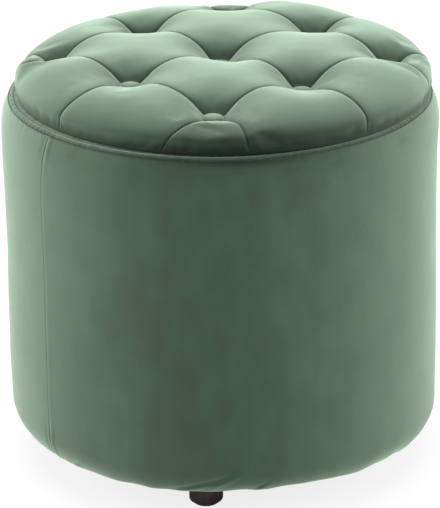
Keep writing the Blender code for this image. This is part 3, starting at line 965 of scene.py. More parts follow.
class Finishes:
    """Every material, by the record's slot."""

    def __init__(self) -> None:
        """Makes the materials."""
        shop = Workshop()
        finishes = {
            Slot.VELVET: Velvet(),
            Slot.WOOD: StainedWood(),
            Slot.LINING: WovenCloth(),
            Slot.STEEL: ZincSteel(),
            Slot.BOARD: Mottled("pressed_board", (0.46, 0.33, 0.20), (0.60, 0.46, 0.30), 700.0,
                                0.75),
            Slot.FOAM: Mottled("foam_cells", (0.78, 0.73, 0.58), (0.86, 0.82, 0.70), 1100.0),
            Slot.FELT: Mottled("grey_felt_fibres", (0.07, 0.07, 0.07), (0.13, 0.13, 0.13),
                               1600.0, 1.0, 0.0005, 0.3),
            Slot.BLACK_CLOTH: Mottled("black_spun_cloth", (0.010, 0.010, 0.011),
                                      (0.024, 0.024, 0.026), 1300.0, 0.8, 0.0003, 0.15),
            Slot.TWINE: Mottled("natural_twine_strands", (0.50, 0.42, 0.30),
                                (0.62, 0.55, 0.42), 1800.0, 0.85),
        }
        self.by_slot = {slot: finish.dress(shop) for slot, finish in finishes.items()}
        self.flat_lining = WovenCloth("grey_lining_weave_flat", reads="Object").dress(shop)

    def dress_nodes(self) -> None:
        """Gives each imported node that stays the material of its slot."""
        for row in frame["record"]["subparts"]:
            node = frame["nodes"][row["node"]]
            node.data.materials.clear()
            node.data.materials.append(self.by_slot[Slot(row["material_slot"])])

    def finish(self, piece: Piece, body: Body, slot: Slot, replaced: Iterable[str] = (),
               material: Material | None = None) -> None:
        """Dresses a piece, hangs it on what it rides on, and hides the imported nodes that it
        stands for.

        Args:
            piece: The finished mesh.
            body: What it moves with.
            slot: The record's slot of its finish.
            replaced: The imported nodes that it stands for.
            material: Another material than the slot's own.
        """
        piece.data.materials.clear()
        piece.data.materials.append(material or self.by_slot[slot])
        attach(piece, body.value)
        if replaced:
            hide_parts(*replaced)
        LOG.info("%s: %d faces, rides on %s", piece.name, len(piece.data.polygons), body.value)


@dataclass(frozen=True)
class Tuft:
    """One button's place in the pattern, and how the real one strays from it."""

    column: int
    row: int
    shift: Pair = (0.0, 0.0)  # in the plan
    lift: float = 0.0
    gathers: float = 0.25  # height of its wrinkles in millimetres
    pull: float = math.radians(135)  # where its wrinkles are deepest


@dataclass
class TuftedLid:
    """The cushion lid: pillows between nine buttons, with a pleat along each row."""

    finishes: Finishes
    pattern_turn: float = math.pi / 4  # the rows of buttons run slantwise, to the back
    crown_base: float = 0.0142  # of the crown's rim, above the hem
    crown_rise: float = 0.0330  # from its rim to the top of the middle pillows
    crown_power: float = 5.0
    crown_roundness: float = 0.70
    turn_radius: float = 0.1720  # where the crown starts to turn over into the side
    turn_lead: float = 0.0150
    side_lead: float = 0.0080
    tuck_lead: float = 0.0125
    tuck_reach: float = 0.0026
    tuck_sag: float = 0.0002
    belly_height: float = 0.3862  # of the widest line
    belly_radius: float = 0.2010
    leaning: Pair = (0.0038, -0.0022)  # the cushion's sides sit off centre
    lean_span: Pair = (0.120, 0.200)  # along the cloth, where that comes in
    face_turn: Pair = (0.160, 0.195)  # where its face turns from up to out
    outline_steps: tuple[int, int, int] = (90, 60, 40)  # crown, shoulder and tuck
    hem_past_board: float = 0.0067
    flange_width: float = 0.0240
    hem_fade: float = 0.0300  # within this distance of the hem pits and pleats grow shallow
    hem_groove: float = 0.25  # the share of a pleat's depth that is left at the hem
    hem_pull: float = 0.0120  # within this distance the hem's pull flattens the pillows
    funnel: Sequence[Pair] = (
        (0.0, 1.0), (0.0058, 1.0), (0.0075, 0.89), (0.0090, 0.82), (0.0110, 0.76),
        (0.0140, 0.675), (0.0200, 0.52), (0.0280, 0.355), (0.0360, 0.25), (0.0480, 0.135),
        (0.0600, 0.065), (0.0815, 0.015), (0.1000, 0.0))
    groove_depth: float = 0.0013
    groove_near: float = 0.0022  # more beside a button
    groove_near_span: Pair = (0.016, 0.042)  # where that ends
    groove_start: Pair = (0.0070, 0.0125)  # how far from a button
    groove_width: float = 0.0048
    groove_power: float = 1.3
    slit_depth: float = 0.0011
    slit_width: float = 0.0012
    pleat_shade_width: float = 0.0016  # width of the painted shade along a pleat
    lap: float = 0.0004  # the front side of each pleat lies over the back side
    lap_reach: float = 0.0070
    lap_edge: float = 0.0008
    gather_start: Pair = (0.009, 0.014)  # how far from a button
    gather_end: Pair = (0.018, 0.036)
    gather_waves: tuple[int, int, int] = (7, 11, 17)  # round a button
    lump_height: float = 0.0005
    lump_size: float = 0.085
    seat_reach: float = 0.035  # how far from a button its own height is felt
    stray_reach: float = 0.055
    bend_start: Pair = (0.148, 0.026)  # where the pleats start to bend, and its swing
    side_depth: float = 0.0090
    front_shade_bearing: float = 20.0  # where the painted shade on the lid's lower side is deepest
    front_shade_width: float = 36.0
    front_shade_span: Pair = (0.058, 0.018)  # from the hem: where that starts and is full
    pile_shade_span: Pair = (0.032, 0.010)  # the same for the painted shade that also darkens the pile's tone
    held_span: Pair = (0.008, 0.001)  # the same for the hem's hold on the filling
    hem_shade: Triple = (0.003, 0.014, 0.012)  # painted shade from the hem: full, none, further behind
    pit_shades: Sequence[Triple] = (  # painted shade in the pits: share, and the dip it starts and ends
        (0.3, 0.08, 0.40), (0.8, 0.35, 0.85))
    cloud_size: float = 0.11
    foam_inset: float = 0.0032
    foam_kept: float = 0.4  # the share of its faces
    pressure: float = 2.0
    slack: float = 0.007  # how much more cloth there is than the smooth form needs
    swell_limit: float = 0.0028
    half_cell_steps: int = 15
    margin_steps: int = 34
    line_grading: float = 1.8
    margin_grading: float = 1.45
    margin_easing: float = 1.7
    button_wall: Sequence[Pair] = (  # shares of its radius and height
        (0.70, 0.0), (0.93, 0.06), (1.0, 0.22), (0.985, 0.42))
    button_dome: float = 0.58  # its share of the height
    button_squareness: float = 0.8
    button_steps: int = 7
    bends: Sequence[Pair] = (
        (-194.6, 9.2), (-165.4, -7.0), (-135.0, -0.6), (-104.6, 4.0), (-75.4, -15.0),
        (-45.0, -2.5), (-14.6, -0.4), (14.6, -4.9), (45.0, -1.5), (75.4, 2.0),
        (104.6, -5.9), (135.0, -0.3), (165.4, 9.2), (194.6, -7.0))
    tufts: Sequence[Tuft] = (
        Tuft(0, 0), Tuft(-1, -1), Tuft(1, 1), Tuft(-1, 1, (-0.0015, 0.003), -0.003),
        Tuft(1, -1, (0.0, 0.003), -0.003, 0.5, math.radians(150)),
        Tuft(-1, 0, (0.0, 0.004), 0.003), Tuft(0, -1, (-0.001, -0.001)),
        Tuft(0, 1, (0.003, 0.0)), Tuft(1, 0, (0.0085, 0.001), 0.0, 0.6, 0.0))
    fullness: Sequence[tuple[float, float, float, float]] = (  # x, y, size, lift
        (-0.150, -0.055, 0.036, 0.0045), (0.150, -0.055, 0.036, 0.0040),
        (0.075, 0.168, 0.040, 0.0030), (0.084, -0.113, 0.026, -0.0040),
        (0.015, -0.040, 0.025, -0.0030), (-0.160, -0.030, 0.022, 0.0012),
        (0.012, -0.022, 0.016, -0.0065), (-0.0815, -0.104, 0.016, -0.0045),
        (0.045, 0.178, 0.020, 0.0022),
        (0.089, -0.102, 0.018, -0.0012), (-0.186, -0.003, 0.016, 0.0062),
        (0.160, -0.030, 0.022, 0.0012), (-0.178, -0.012, 0.018, 0.0060),
        (0.176, -0.012, 0.018, 0.0055), (0.184, 0.022, 0.022, 0.0030),
        (0.175, 0.080, 0.025, 0.0018), (-0.080, 0.165, 0.040, -0.0014),
        (-0.006, 0.190, 0.020, 0.0020))
    shaded_patches: Sequence[tuple[float, float, float, float]] = (  # x, y, size, how pale; all darker: painted shade on single pillows and under the front pit
        (-0.105, -0.125, 0.045, -0.8), (0.0, -0.182, 0.021, -2.6),
        (-0.070, -0.100, 0.030, -0.6), (0.0, 0.110, 0.050, -0.5),
        (-0.100, 0.030, 0.050, -0.35), (0.105, 0.030, 0.050, -0.3))
    body: Body = Body.LID

    def __post_init__(self) -> None:
        """Reads the lid's sizes from the frame and draws its side."""
        low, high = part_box("tuft_button_1")
        self.pit_height: float = low.z
        self.spacing: float = abs(low.y + high.y) / 2 / math.sqrt(2)
        self.radius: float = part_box("lid_cover")[1].x
        self.hem_height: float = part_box("lid_cover")[0].z
        self.hem_radius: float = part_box("lid_board")[1].x + self.hem_past_board
        self.swollen: Array | float = 0.0  # how far the filling moved each point
        self.draw_profile()

    def crown_height(self, radius: Array) -> Array:
        """Height of the lid's crown before the buttons pull it down.

        Args:
            radius: Distances from the middle.

        Returns:
            The height at each.
        """
        share = np.clip(radius / self.radius, 0, 1)
        bulge = (1 - share**self.crown_power) ** self.crown_roundness
        return self.hem_height + self.crown_base + self.crown_rise * bulge

    def draw_profile(self) -> None:
        """Works out the lid's outline from the middle, over its side and down to its hem."""
        crown_steps, shoulder_steps, tuck_steps = self.outline_steps
        radii = np.linspace(0, self.turn_radius, crown_steps)
        crown = np.stack([radii, self.crown_height(radii)], axis=1)
        turn = crown[-1]
        lead = crown[-1] - crown[-2]
        lead *= self.turn_lead / np.linalg.norm(lead)
        belly = np.array([self.belly_radius, self.belly_height])
        hem = np.array([self.hem_radius, self.hem_height])
        upper = cubic(turn, turn + lead, belly + [0, self.side_lead], belly, shoulder_steps)
        lower = cubic(belly, belly - [0, self.tuck_lead],
                      hem + [self.tuck_reach, -self.tuck_sag], hem, tuck_steps)
        line = np.concatenate([crown, upper[1:], lower[1:]])
        steps = np.linalg.norm(np.diff(line, axis=0), axis=1)
        steps[:len(radii) - 1] = np.diff(radii)
        self.reach = np.concatenate([[0], np.cumsum(steps)])
        self.profile = line
        along = np.gradient(line, axis=0)
        normal = np.stack([-along[:, 1], along[:, 0]], axis=1)
        self.normal = normal / np.linalg.norm(normal, axis=1)[:, None]

    @property
    def full_reach(self) -> float:
        """Distance over the cloth from the middle to the hem's corner."""
        return float(self.reach[-1])

    def grid_lines(self) -> tuple[Array, Array]:
        """Places of the cloth's lines, closest beside the pleats.

        Returns:
            Distances from the middle row of buttons out to the outer one, and shares of
            the way from there to the hem.
        """
        half = self.half_cell_steps
        near = self.spacing / 2 * (np.arange(half + 1) / half) ** self.line_grading
        cell = np.concatenate([near, self.spacing - near[-2::-1]])
        share = np.arange(self.margin_steps + 1) / self.margin_steps
        margin = (1 - share) * share**self.margin_grading + share * (
            1 - (1 - share) ** self.margin_easing)
        return cell, margin

    def plan(self, places: Array) -> Array:
        """Where each point of the cloth grid lies, along the two ways of the pleats.

        Args:
            places: Whole-number columns and rows, counted from the middle.

        Returns:
            Rows of two coordinates.
        """
        cell, margin = self.grid_lines()
        inner = len(cell) - 1
        count = np.abs(places)
        inside = np.minimum(count, inner)
        beyond = margin[count - inside]
        line = cell[inside]
        limit = self.full_reach
        edge = np.sqrt(limit**2 - line**2)
        flat = line.copy()
        for way in (0, 1):
            other = 1 - way
            out = (count[:, way] > inner) & (count[:, other] <= inner)
            flat[out, way] = self.spacing + beyond[out, way] * (
                edge[out, other] - self.spacing)
        corner = (count > inner).all(axis=1)
        flat[corner] = self.corner_patch(beyond[corner])
        return flat * np.sign(places)

    def corner_patch(self, shares: Array) -> Array:
        """Fills the corner outside a corner button, between its two pleats and the hem.

        Args:
            shares: Rows of how far each point lies across and along the corner.

        Returns:
            Rows of two coordinates.
        """
        limit = self.full_reach
        start = self.spacing
        run = math.sqrt(limit**2 - start**2) - start
        first = math.asin(start / limit)
        across, along = shares[:, :1], shares[:, 1:]
        one = np.ones_like(across)
        turn = first + (math.pi / 4 - first) * shares
        rim = limit * np.stack([np.sin(turn), np.cos(turn)], axis=2)
        bottom = np.concatenate([start + run * across, start * one], axis=1)
        left = np.concatenate([start * one, start + run * along], axis=1)
        corners = ((1 - across) * (1 - along) * start
                   + across * (1 - along) * np.array([start + run, start])
                   + (1 - across) * along * np.array([start, start + run])
                   + across * along * limit / math.sqrt(2))
        return ((1 - along) * bottom + along * rim[:, 0] + (1 - across) * left
                + across * rim[:, 1, ::-1] - corners)

    def dip(self, flat: Array) -> Array:
        """How far the buttons pull the cloth down.

        Args:
            flat: Places along the pleats.

        Returns:
            From 0 on the crown to 1 at a button.
        """
        at, share = np.array(self.funnel).T
        open_share = np.ones(len(flat))
        for tuft in self.tufts:
            away = np.linalg.norm(flat - self.home(tuft), axis=1)
            open_share *= 1 - np.interp(away, at, share)
        return 1 - open_share

    def home(self, tuft: Tuft) -> Array:
        """A button's place along the two ways of the pleats."""
        return np.array([tuft.column, tuft.row]) * self.spacing

    def pleats(self, flat: Array) -> tuple[Array, Array, Array]:
        """How each point lies to the nearest pleat.

        Args:
            flat: Places along the pleats.

        Returns:
            Distance from the pleat, distance from the nearest button, and -1 or 1 for the
            back or front side of the pleat.
        """
        nearest = np.clip(np.rint(flat / self.spacing), -1, 1) * self.spacing
        offset = flat - nearest
        away = np.abs(offset)
        way = np.argmin(away, axis=1)
        line = np.take_along_axis(offset, way[:, None], axis=1)[:, 0]
        # both ways run to the back, so a pleat's front is its low side
        return np.abs(line), np.linalg.norm(away, axis=1), -np.sign(line)

    def groove(self, flat: Array) -> tuple[Array, Array]:
        """Shapes the pleats.

        Args:
            flat: Places along the pleats.

        Returns:
            How deep each point lies, and the painted shade along the pleat, from 0 to 1.
        """
        line, button, front = self.pleats(flat)
        near = smooth_step(*self.groove_start, button)
        deep = self.groove_depth + self.groove_near * (
            1 - smooth_step(*self.groove_near_span, button))
        valley = deep * np.exp(-(line / self.groove_width) ** self.groove_power)
        slit = hill(line, 0, self.slit_width)
        over = self.lap * front * np.exp(-line / self.lap_reach) * (
            1 - np.exp(-line / self.lap_edge))
        # the second value is the painted shade that darkens the pile along the pleat
        return near * (valley + self.slit_depth * slit - over), near * hill(
            line, 0, self.pleat_shade_width)

    def gathers(self, flat: Array) -> Array:
        """Height of the small wrinkles that run out from the buttons.

        Args:
            flat: Places along the pleats.

        Returns:
            The height at each point.
        """
        total = np.zeros(len(flat))
        for number, tuft in enumerate(self.tufts):
            offset = flat - self.home(tuft)
            away = np.linalg.norm(offset, axis=1)
            angle = np.arctan2(offset[:, 1], offset[:, 0]) + self.pattern_turn
            draw = np.random.default_rng(40 + number)
            ripple = sum(np.sin(count * angle + draw.uniform(0, math.tau)) / 3
                         for count in self.gather_waves)
            turn = 0.5 + 0.5 * np.cos(angle - tuft.pull)
            band = smooth_step(*self.gather_start, away) * (
                1 - smooth_step(*self.gather_end, away))
            total += 0.001 * tuft.gathers * ripple * band * (0.35 + 0.65 * turn)
        return total

    def surface(self, flat: Array, inset: float = 0.0) -> Array:
        """The cloth's points.

        Args:
            flat: Places along the pleats.
            inset: How far inside the cloth's face the wanted surface lies.

        Returns:
            Rows of three coordinates.
        """
        reach = np.minimum(np.linalg.norm(flat, axis=1), self.full_reach)
        radius = np.interp(reach, self.reach, self.profile[:, 0])
        height = np.interp(reach, self.reach, self.profile[:, 1])
        normal = np.stack([np.interp(reach, self.reach, self.normal[:, i]) for i in (0, 1)],
                          axis=1)
        angle = np.arctan2(flat[:, 1], flat[:, 0]) + self.pattern_turn
        angle = angle + self.bend(angle, reach)
        over = smooth_step(*self.face_turn, reach)[:, None]
        push = (1 - over) * np.array([0.0, 1.0]) + over * normal
        free = 1 - smooth_step(0, 1, 1 + (reach - self.full_reach) / self.hem_pull)
        height = height + free * self.puff(radius, angle)
        fade = smooth_step(0, self.hem_fade, self.full_reach - reach)
        full = np.maximum(height - self.seat(flat), self.side_depth * fade)
        fold, _ = self.groove(flat)
        fold = (self.hem_groove + (1 - self.hem_groove) * fade) * fold
        depth = full * self.dip(flat) + fold - self.gathers(flat)
        depth = depth * free
        radius = radius - push[:, 0] * (depth + inset)
        height = height - push[:, 1] * (depth + inset)
        plan = on_ring(radius, angle)
        plan += self.stray(flat) * (1 - over)
        plan += np.array(self.leaning) * smooth_step(*self.lean_span, reach)[:, None]
        return np.concatenate([plan, height[:, None]], axis=1)

    def puff(self, radius: Array, angle: Array) -> Array:
        """Extra height of the fuller pillows, and the filling's slow lumps.

        Args:
            radius: Distances from the middle.
            angle: Angles round it.

        Returns:
            The extra height at each point.
        """
        plan = on_ring(radius, angle)
        extra = self.lump_height * soft_noise(plan, self.lump_size, 17)
        for x, y, size, lift in self.fullness:
            extra = extra + lift * hill(far_from(plan, x, y), 0, size)
        return extra

    def seat(self, flat: Array) -> Array:
        """Height of the nearest button's seat.

        Args:
            flat: Places along the pleats.

        Returns:
            The height at each point.
        """
        total = np.full(len(flat), self.pit_height)
        for tuft in self.tufts:
            away = far_from(flat, *self.home(tuft))
            total += tuft.lift * hill(away, 0, self.seat_reach)
        return total

    def stray(self, flat: Array) -> Array:
        """How far the cloth follows the buttons that sit off their marks.

        Args:
            flat: Places along the pleats.

        Returns:
            The shift of each point in the plan.
        """
        total = np.zeros((len(flat), 2))
        for tuft in self.tufts:
            away = far_from(flat, *self.home(tuft))
            total += hill(away, 0, self.stray_reach)[:, None] * np.array(tuft.shift)
        return total

    def bend(self, angle: Array, reach: Array) -> Array:
        """How far round each point is carried, so that the outer pleats lie as sewn.

        Args:
            angle: Angles round the middle.
            reach: Distances over the cloth from the middle.

        Returns:
            The extra angle of each point.
        """
        front = np.degrees((angle + math.pi / 2 + math.pi) % math.tau - math.pi)
        at, shift = np.array(self.bends).T
        swing = np.interp(front, at, shift)
        least, swinging = self.bend_start
        start = least + swinging * np.cos(4 * np.radians(front))
        return np.radians(swing) * smooth_step(0, 1, (reach - start) / (
            self.full_reach - start))

    def lay_cloth(self, name: str) -> tuple[Piece, Array]:
        """Cuts a cloth for the lid.

        Args:
            name: The piece's name.

        Returns:
            The piece, and the places of its points along the two ways of the pleats.
        """
        half = 2 * self.half_cell_steps + self.margin_steps
        piece, places = cloth_grid(name, 2 * half, 2 * half)
        return piece, self.plan(places - half)

    def near_hem(self, span: Sequence[float], reach: Array) -> Array:
        """Eases from 0 to 1 between two distances from the hem's corner."""
        return smooth_step(self.full_reach - span[0], self.full_reach - span[1], reach)

    def brush_and_shade_pile(self, piece: Piece, points: Array, flat: Array) -> None:
        """Marks on the velvet how its pile lies, and where shade is painted on it.

        Args:
            piece: The velvet.
            points: Its points.
            flat: Their places along the pleats.
        """
        _, fold = self.groove(flat)
        dip = self.dip(flat)
        reach = np.linalg.norm(flat, axis=1)
        front = np.degrees(np.arctan2(points[:, 0], -points[:, 1]))
        dark = hill(front, self.front_shade_bearing, self.front_shade_width) * self.near_hem(
            self.front_shade_span, reach)
        turned_side = 0.5 + 0.5 * np.cos(np.radians(front - self.front_shade_bearing))
        full, end, more = self.hem_shade
        shaded = end + more * (1 - turned_side**2)
        edge = smooth_step(0, 1, 1 - (self.full_reach - full - reach) / (shaded - full))
        # painted shade: pleats, pits, the lower front side and the hem's edge
        shade_mask = 0.9 * fold
        for share, start, stop in self.pit_shades:
            shade_mask = shade_mask + share * smooth_step(start, stop, dip)
        shade_mask = shade_mask + 0.8 * dark + 0.9 * edge
        write_mask(piece, "shade_mask", np.clip(shade_mask, 0, 1))
        # soft clouds of pile, with painted shade in the pits and on single pillows
        nap_and_shade = 0.45 * soft_noise(points, self.cloud_size, 3) - 1.1 * smooth_step(0.12, 0.6, dip)
        for x, y, size, amount in self.shaded_patches:
            nap_and_shade = nap_and_shade + amount * hill(far_from(points, x, y), 0, size)
        # painted shade on the lower side, deepest at the front
        below = self.near_hem(self.pile_shade_span, reach)
        write_mask(piece, "nap_and_shade", nap_and_shade - 0.9 * below * turned_side**2)
        write_mask(piece, "lean", np.clip(0.42 * dark + 0.75 * edge, 0, 0.75))

    def sewn(self, flat: Array) -> Array:
        """Where the velvet is held by stitches, buttons and hem.

        Args:
            flat: Places along the pleats.

        Returns:
            1 where it is held and 0 where it is free.
        """
        _, fold = self.groove(flat)
        held = smooth_step(0.50, 0.95, fold) + smooth_step(0.86, 0.96, self.dip(flat))
        held += self.near_hem(self.held_span, np.linalg.norm(flat, axis=1))
        return np.clip(held, 0, 1)

    def turn_under(self, piece: Piece) -> None:
        """Carries the hem in under the board as a flange.

        Args:
            piece: The velvet or the foam.
        """
        pick(piece)
        bpy.ops.object.mode_set(mode="EDIT")
        select_rim()
        bpy.ops.mesh.extrude_edges_move()
        ratio = 1 - self.flange_width / self.hem_radius
        bpy.ops.transform.resize(value=(ratio, ratio, 1), center_override=(0, 0, 0))
        face_outwards()

    def build_cover(self) -> None:
        """Makes the tufted velvet."""
        piece, flat = self.lay_cloth("lid_velvet")
        points = self.surface(flat)
        write_points(piece, points)
        self.brush_and_shade_pile(piece, points, flat)
        self.swollen = puff_cloth(piece, self.sewn(flat), self.pressure, self.slack,
                                  self.swell_limit)
        self.turn_under(piece)
        apply_modifier(piece, "SUBSURF", levels=1, render_levels=1)
        smooth(piece)
        self.finishes.finish(piece, self.body, Slot.VELVET, ["lid_cover"])

    def build_foam(self) -> None:
        """Makes the foam under the velvet."""
        piece, flat = self.lay_cloth("lid_foam_pad")
        write_points(piece, self.surface(flat, self.foam_inset) + self.swollen)
        self.turn_under(piece)
        apply_modifier(piece, "DECIMATE", ratio=self.foam_kept)
        smooth(piece)
        self.finishes.finish(piece, self.body, Slot.FOAM, ["lid_foam"])

    def build_buttons(self) -> None:
        """Makes the nine covered buttons, each at the tuft nearest to its node."""
        for number in range(1, 10):
            node = f"tuft_button_{number}"
            middle, radius, low, high = standing(node)
            tuft = min(self.tufts, key=lambda one: np.linalg.norm(self.on_plan(one) - middle))
            base = low + tuft.lift
            rise = high - low
            outline = [(radius * wide, base + rise * up) for wide, up in self.button_wall]
            wide, start = self.button_wall[-1]
            for step in range(1, self.button_steps):
                angle = math.pi / 2 * step / self.button_steps
                outline.append((radius * wide * math.cos(angle) ** self.button_squareness,
                                base + rise * (start + self.button_dome * math.sin(angle))))
            outline.append((0, base + rise))
            place = (middle[0] + tuft.shift[0], middle[1] + tuft.shift[1])
            piece = turned(f"covered_button_{number}", outline, 40, place)
            smooth(piece)
            self.finishes.finish(piece, self.body, Slot.VELVET, [node])

    def on_plan(self, tuft: Tuft) -> Array:
        """A button's place seen from above.

        Args:
            tuft: The button.

        Returns:
            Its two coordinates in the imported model.
        """
        turn = self.pattern_turn
        column, row = self.home(tuft)
        return np.array([column * math.cos(turn) - row * math.sin(turn),
                         column * math.sin(turn) + row * math.cos(turn)])


@dataclass(frozen=True)
class Fold:
    """A line where the velvet is drawn into a soft fold, as bearings and heights."""

    start: Pair  # degrees from the front, height
    end: Pair
    height: float
    width: float


@dataclass
class PaddedTub:
    """The round tub's upholstery: velvet sleeve over foam, piping and facing."""

    finishes: Finishes
    wall_radius: float = 0.2103
    shoulder_base: float = 0.3352
    shoulder_height: float = 0.0318
    shoulder_inset: float = 0.0048
    shoulder_power: float = 2.6
    turn_in: Sequence[Pair] = (
        (0.2030, 0.3640), (0.2040, 0.3646), (0.2046, 0.3652), (0.2048, 0.3660),
        (0.20485, 0.3667), (0.2049, 0.3672), (0.2052, 0.36745), (0.20545, 0.3673))
    top: float = 0.3673  # where the sleeve goes in under the piping
    bottom_drop: float = 0.0010
    loose_span: Pair = (0.030, 0.004)  # above the base: where that comes in
    hem_hold: float = 0.006  # within this distance the hem holds it up
    loose: Sequence[Triple] = (  # bearing, width, how far it hangs lower
        (68.0, 20.0, 0.0030), (41.0, 6.0, 0.0021), (25.0, 6.0, -0.0013), (-27.0, 4.0, 0.0013),
        (-18.0, 4.0, 0.0013))
    rounding: Sequence[Triple] = (  # bearing, width, height
        (-180.0, 0.024, 0.028), (-90.0, 0.023, 0.029), (-45.0, 0.022, 0.027),
        (0.0, 0.020, 0.024), (45.0, 0.019, 0.023), (90.0, 0.017, 0.022),
        (180.0, 0.024, 0.028))
    round_width: float = 0.0200
    round_height: float = 0.0240
    sag: float = 0.0065
    hem_width: float = 0.0060
    seam_turn: float = math.radians(-140.8)
    seam_lean: float = math.radians(2.0)  # how far its top end strays to the right
    around: int = 800
    seam_crowding: float = 0.6  # of the sleeve's columns beside its join
    piping_crowding: float = 0.45
    facing_crowding: float = 0.3
    seam_ends: Sequence[Pair] = (  # heights where the join draws in deeper
        (0.335, 0.360), (0.080, 0.055))
    seam_ridge: Pair = (0.0040, 0.0032)  # from the join, and half width
    seam_cut: float = 0.0009
    seam_line: float = 0.0008  # half width of its dark line
    lumps: Sequence[tuple[float, float, int]] = (  # height, size, seed
        (0.0005, 0.16, 11), (0.00018, 0.050, 12))
    lump_ring: float = 0.21
    piping_ring: float = 0.2010
    piping_height: float = 0.3662
    piping_radius: float = 0.00375
    piping_cells: tuple[int, int] = (1500, 16)
    pucker: float = 0.00022
    facing_ring: float = 0.196
    facing_cells: int = 1100
    facing_height: float = 0.3694
    facing_roll: Sequence[Pair] = (
        (0.1990, 0.3680), (0.1993, 0.3688), (0.1990, 0.3695), (0.1980, 0.3700),
        (0.1964, 0.3702), (0.1947, 0.3700), (0.1934, 0.3695), (0.1924, 0.3693))
    facing_stitches: int = 272
    foam_inset: float = 0.0022
    foam_top: float = 0.3622
    foam_gap: float = 0.0004
    bulges: Sequence[tuple[float, float, float, float, float]] = (
        # bearing from the front, height, half width, half height, how far out
        (-90.0, 0.320, 42.0, 0.060, 0.0026), (88.0, 0.345, 36.0, 0.022, 0.0012),
        (88.0, 0.120, 50.0, 0.070, 0.0010), (-20.0, 0.200, 60.0, 0.120, 0.0004),
        (-90.0, 0.120, 50.0, 0.070, 0.0012))
    folds: Sequence[Fold] = (
        Fold((-11.0, 0.0335), (5.0, 0.0500), 0.0012, 0.0026),
        Fold((-2.0, 0.0370), (8.5, 0.0600), 0.0010, 0.0028),
        Fold((10.5, 0.0330), (15.0, 0.0440), 0.0009, 0.0022),
        Fold((-44.0, 0.0340), (-39.0, 0.0430), 0.0008, 0.0022),
        Fold((96.0, 0.0340), (112.0, 0.0520), 0.0011, 0.0028),
        Fold((168.0, 0.0340), (186.0, 0.0560), 0.0012, 0.0030),
        Fold((232.0, 0.0340), (244.0, 0.0500), 0.0010, 0.0026))
    presses: Sequence[Triple] = (
        # bearing, height, size of dents under the piping where the pile is painted darker
        (-38.0, 0.3585, 0.0050), (6.5, 0.3575, 0.0040), (19.5, 0.3560, 0.0050),
        (32.5, 0.3580, 0.0070), (55.5, 0.3570, 0.0060), (128.0, 0.3575, 0.0060),
        (-150.0, 0.3560, 0.0060))
    scallop: float = 0.0013
    scallop_pitch: float = 0.0380
    lid_middle: Pair = TuftedLid.leaning
    lid_shade: Pair = (0.1870, 0.1925)  # from there, where the painted shadow of the lid's edge starts on the rim
    lid_edge: Pair = (0.1962, 0.1982)
    body: Body = Body.BASE

    def __post_init__(self) -> None:
        """Reads the tub's sizes from the frame."""
        self.base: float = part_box("outer_cover")[0].z
        self.hem_radius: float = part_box("dust_cover")[1].x
        self.foam_inner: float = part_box("tub_shell")[1].x + 0.0003
        self.panel_base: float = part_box("floor_panel")[0].z
        self.skirt_radius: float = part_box("locating_disc")[1].x + 0.0039
        self.skirt_base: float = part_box("rim_facing")[0].z

    def angles(self, columns: Array, count: int, crowding: float) -> Array:
        """Angles round the tub, crowded together beside the sleeve's join."""
        turn = columns / count * math.tau
        return self.seam_turn + turn - crowding * np.sin(turn)

    @staticmethod
    def bearing(angle: Array) -> Array:
        """Degrees from the front, growing to the right, from -180 to 180."""
        return degrees_apart(np.degrees(angle), -90)

    def from_seam(self, angle: Array) -> Array:
        """Distance round the wall from the sleeve's join, growing to the right."""
        turn = (angle - self.seam_turn + math.pi) % math.tau - math.pi
        return turn * self.wall_radius

    def sleeve_line(self) -> Array:
        """Draws the sleeve, from under the piping down and under.

        Returns:
            Rows of radius and height.
        """
        points = list(self.turn_in)
        for climb in np.linspace(1, 0, 21) ** 0.8:
            points.append((self.wall_radius - self.shoulder_inset * climb**self.shoulder_power,
                           self.shoulder_base + climb * self.shoulder_height))
        bottom = self.base + self.round_height
        for share in np.linspace(0, 1, 37)[1:]:
            points.append((self.wall_radius, self.shoulder_base
                           + share * (bottom - self.shoulder_base)))
        inner = self.wall_radius - self.round_width
        for angle in np.linspace(0, math.pi / 2, 29)[1:]:
            points.append((inner + self.round_width * math.cos(angle),
                           bottom - self.round_height * math.sin(angle)))
        points += [tuple(p) for p in cubic(
            (inner, self.base), (inner - 0.0040, self.base),
            (self.hem_radius + 0.0008, self.base + 0.0035),
            (self.hem_radius, self.base + self.sag), 10)[1:]]
        points.append((self.hem_radius - self.hem_width, self.base + self.sag))
        return np.array(points)

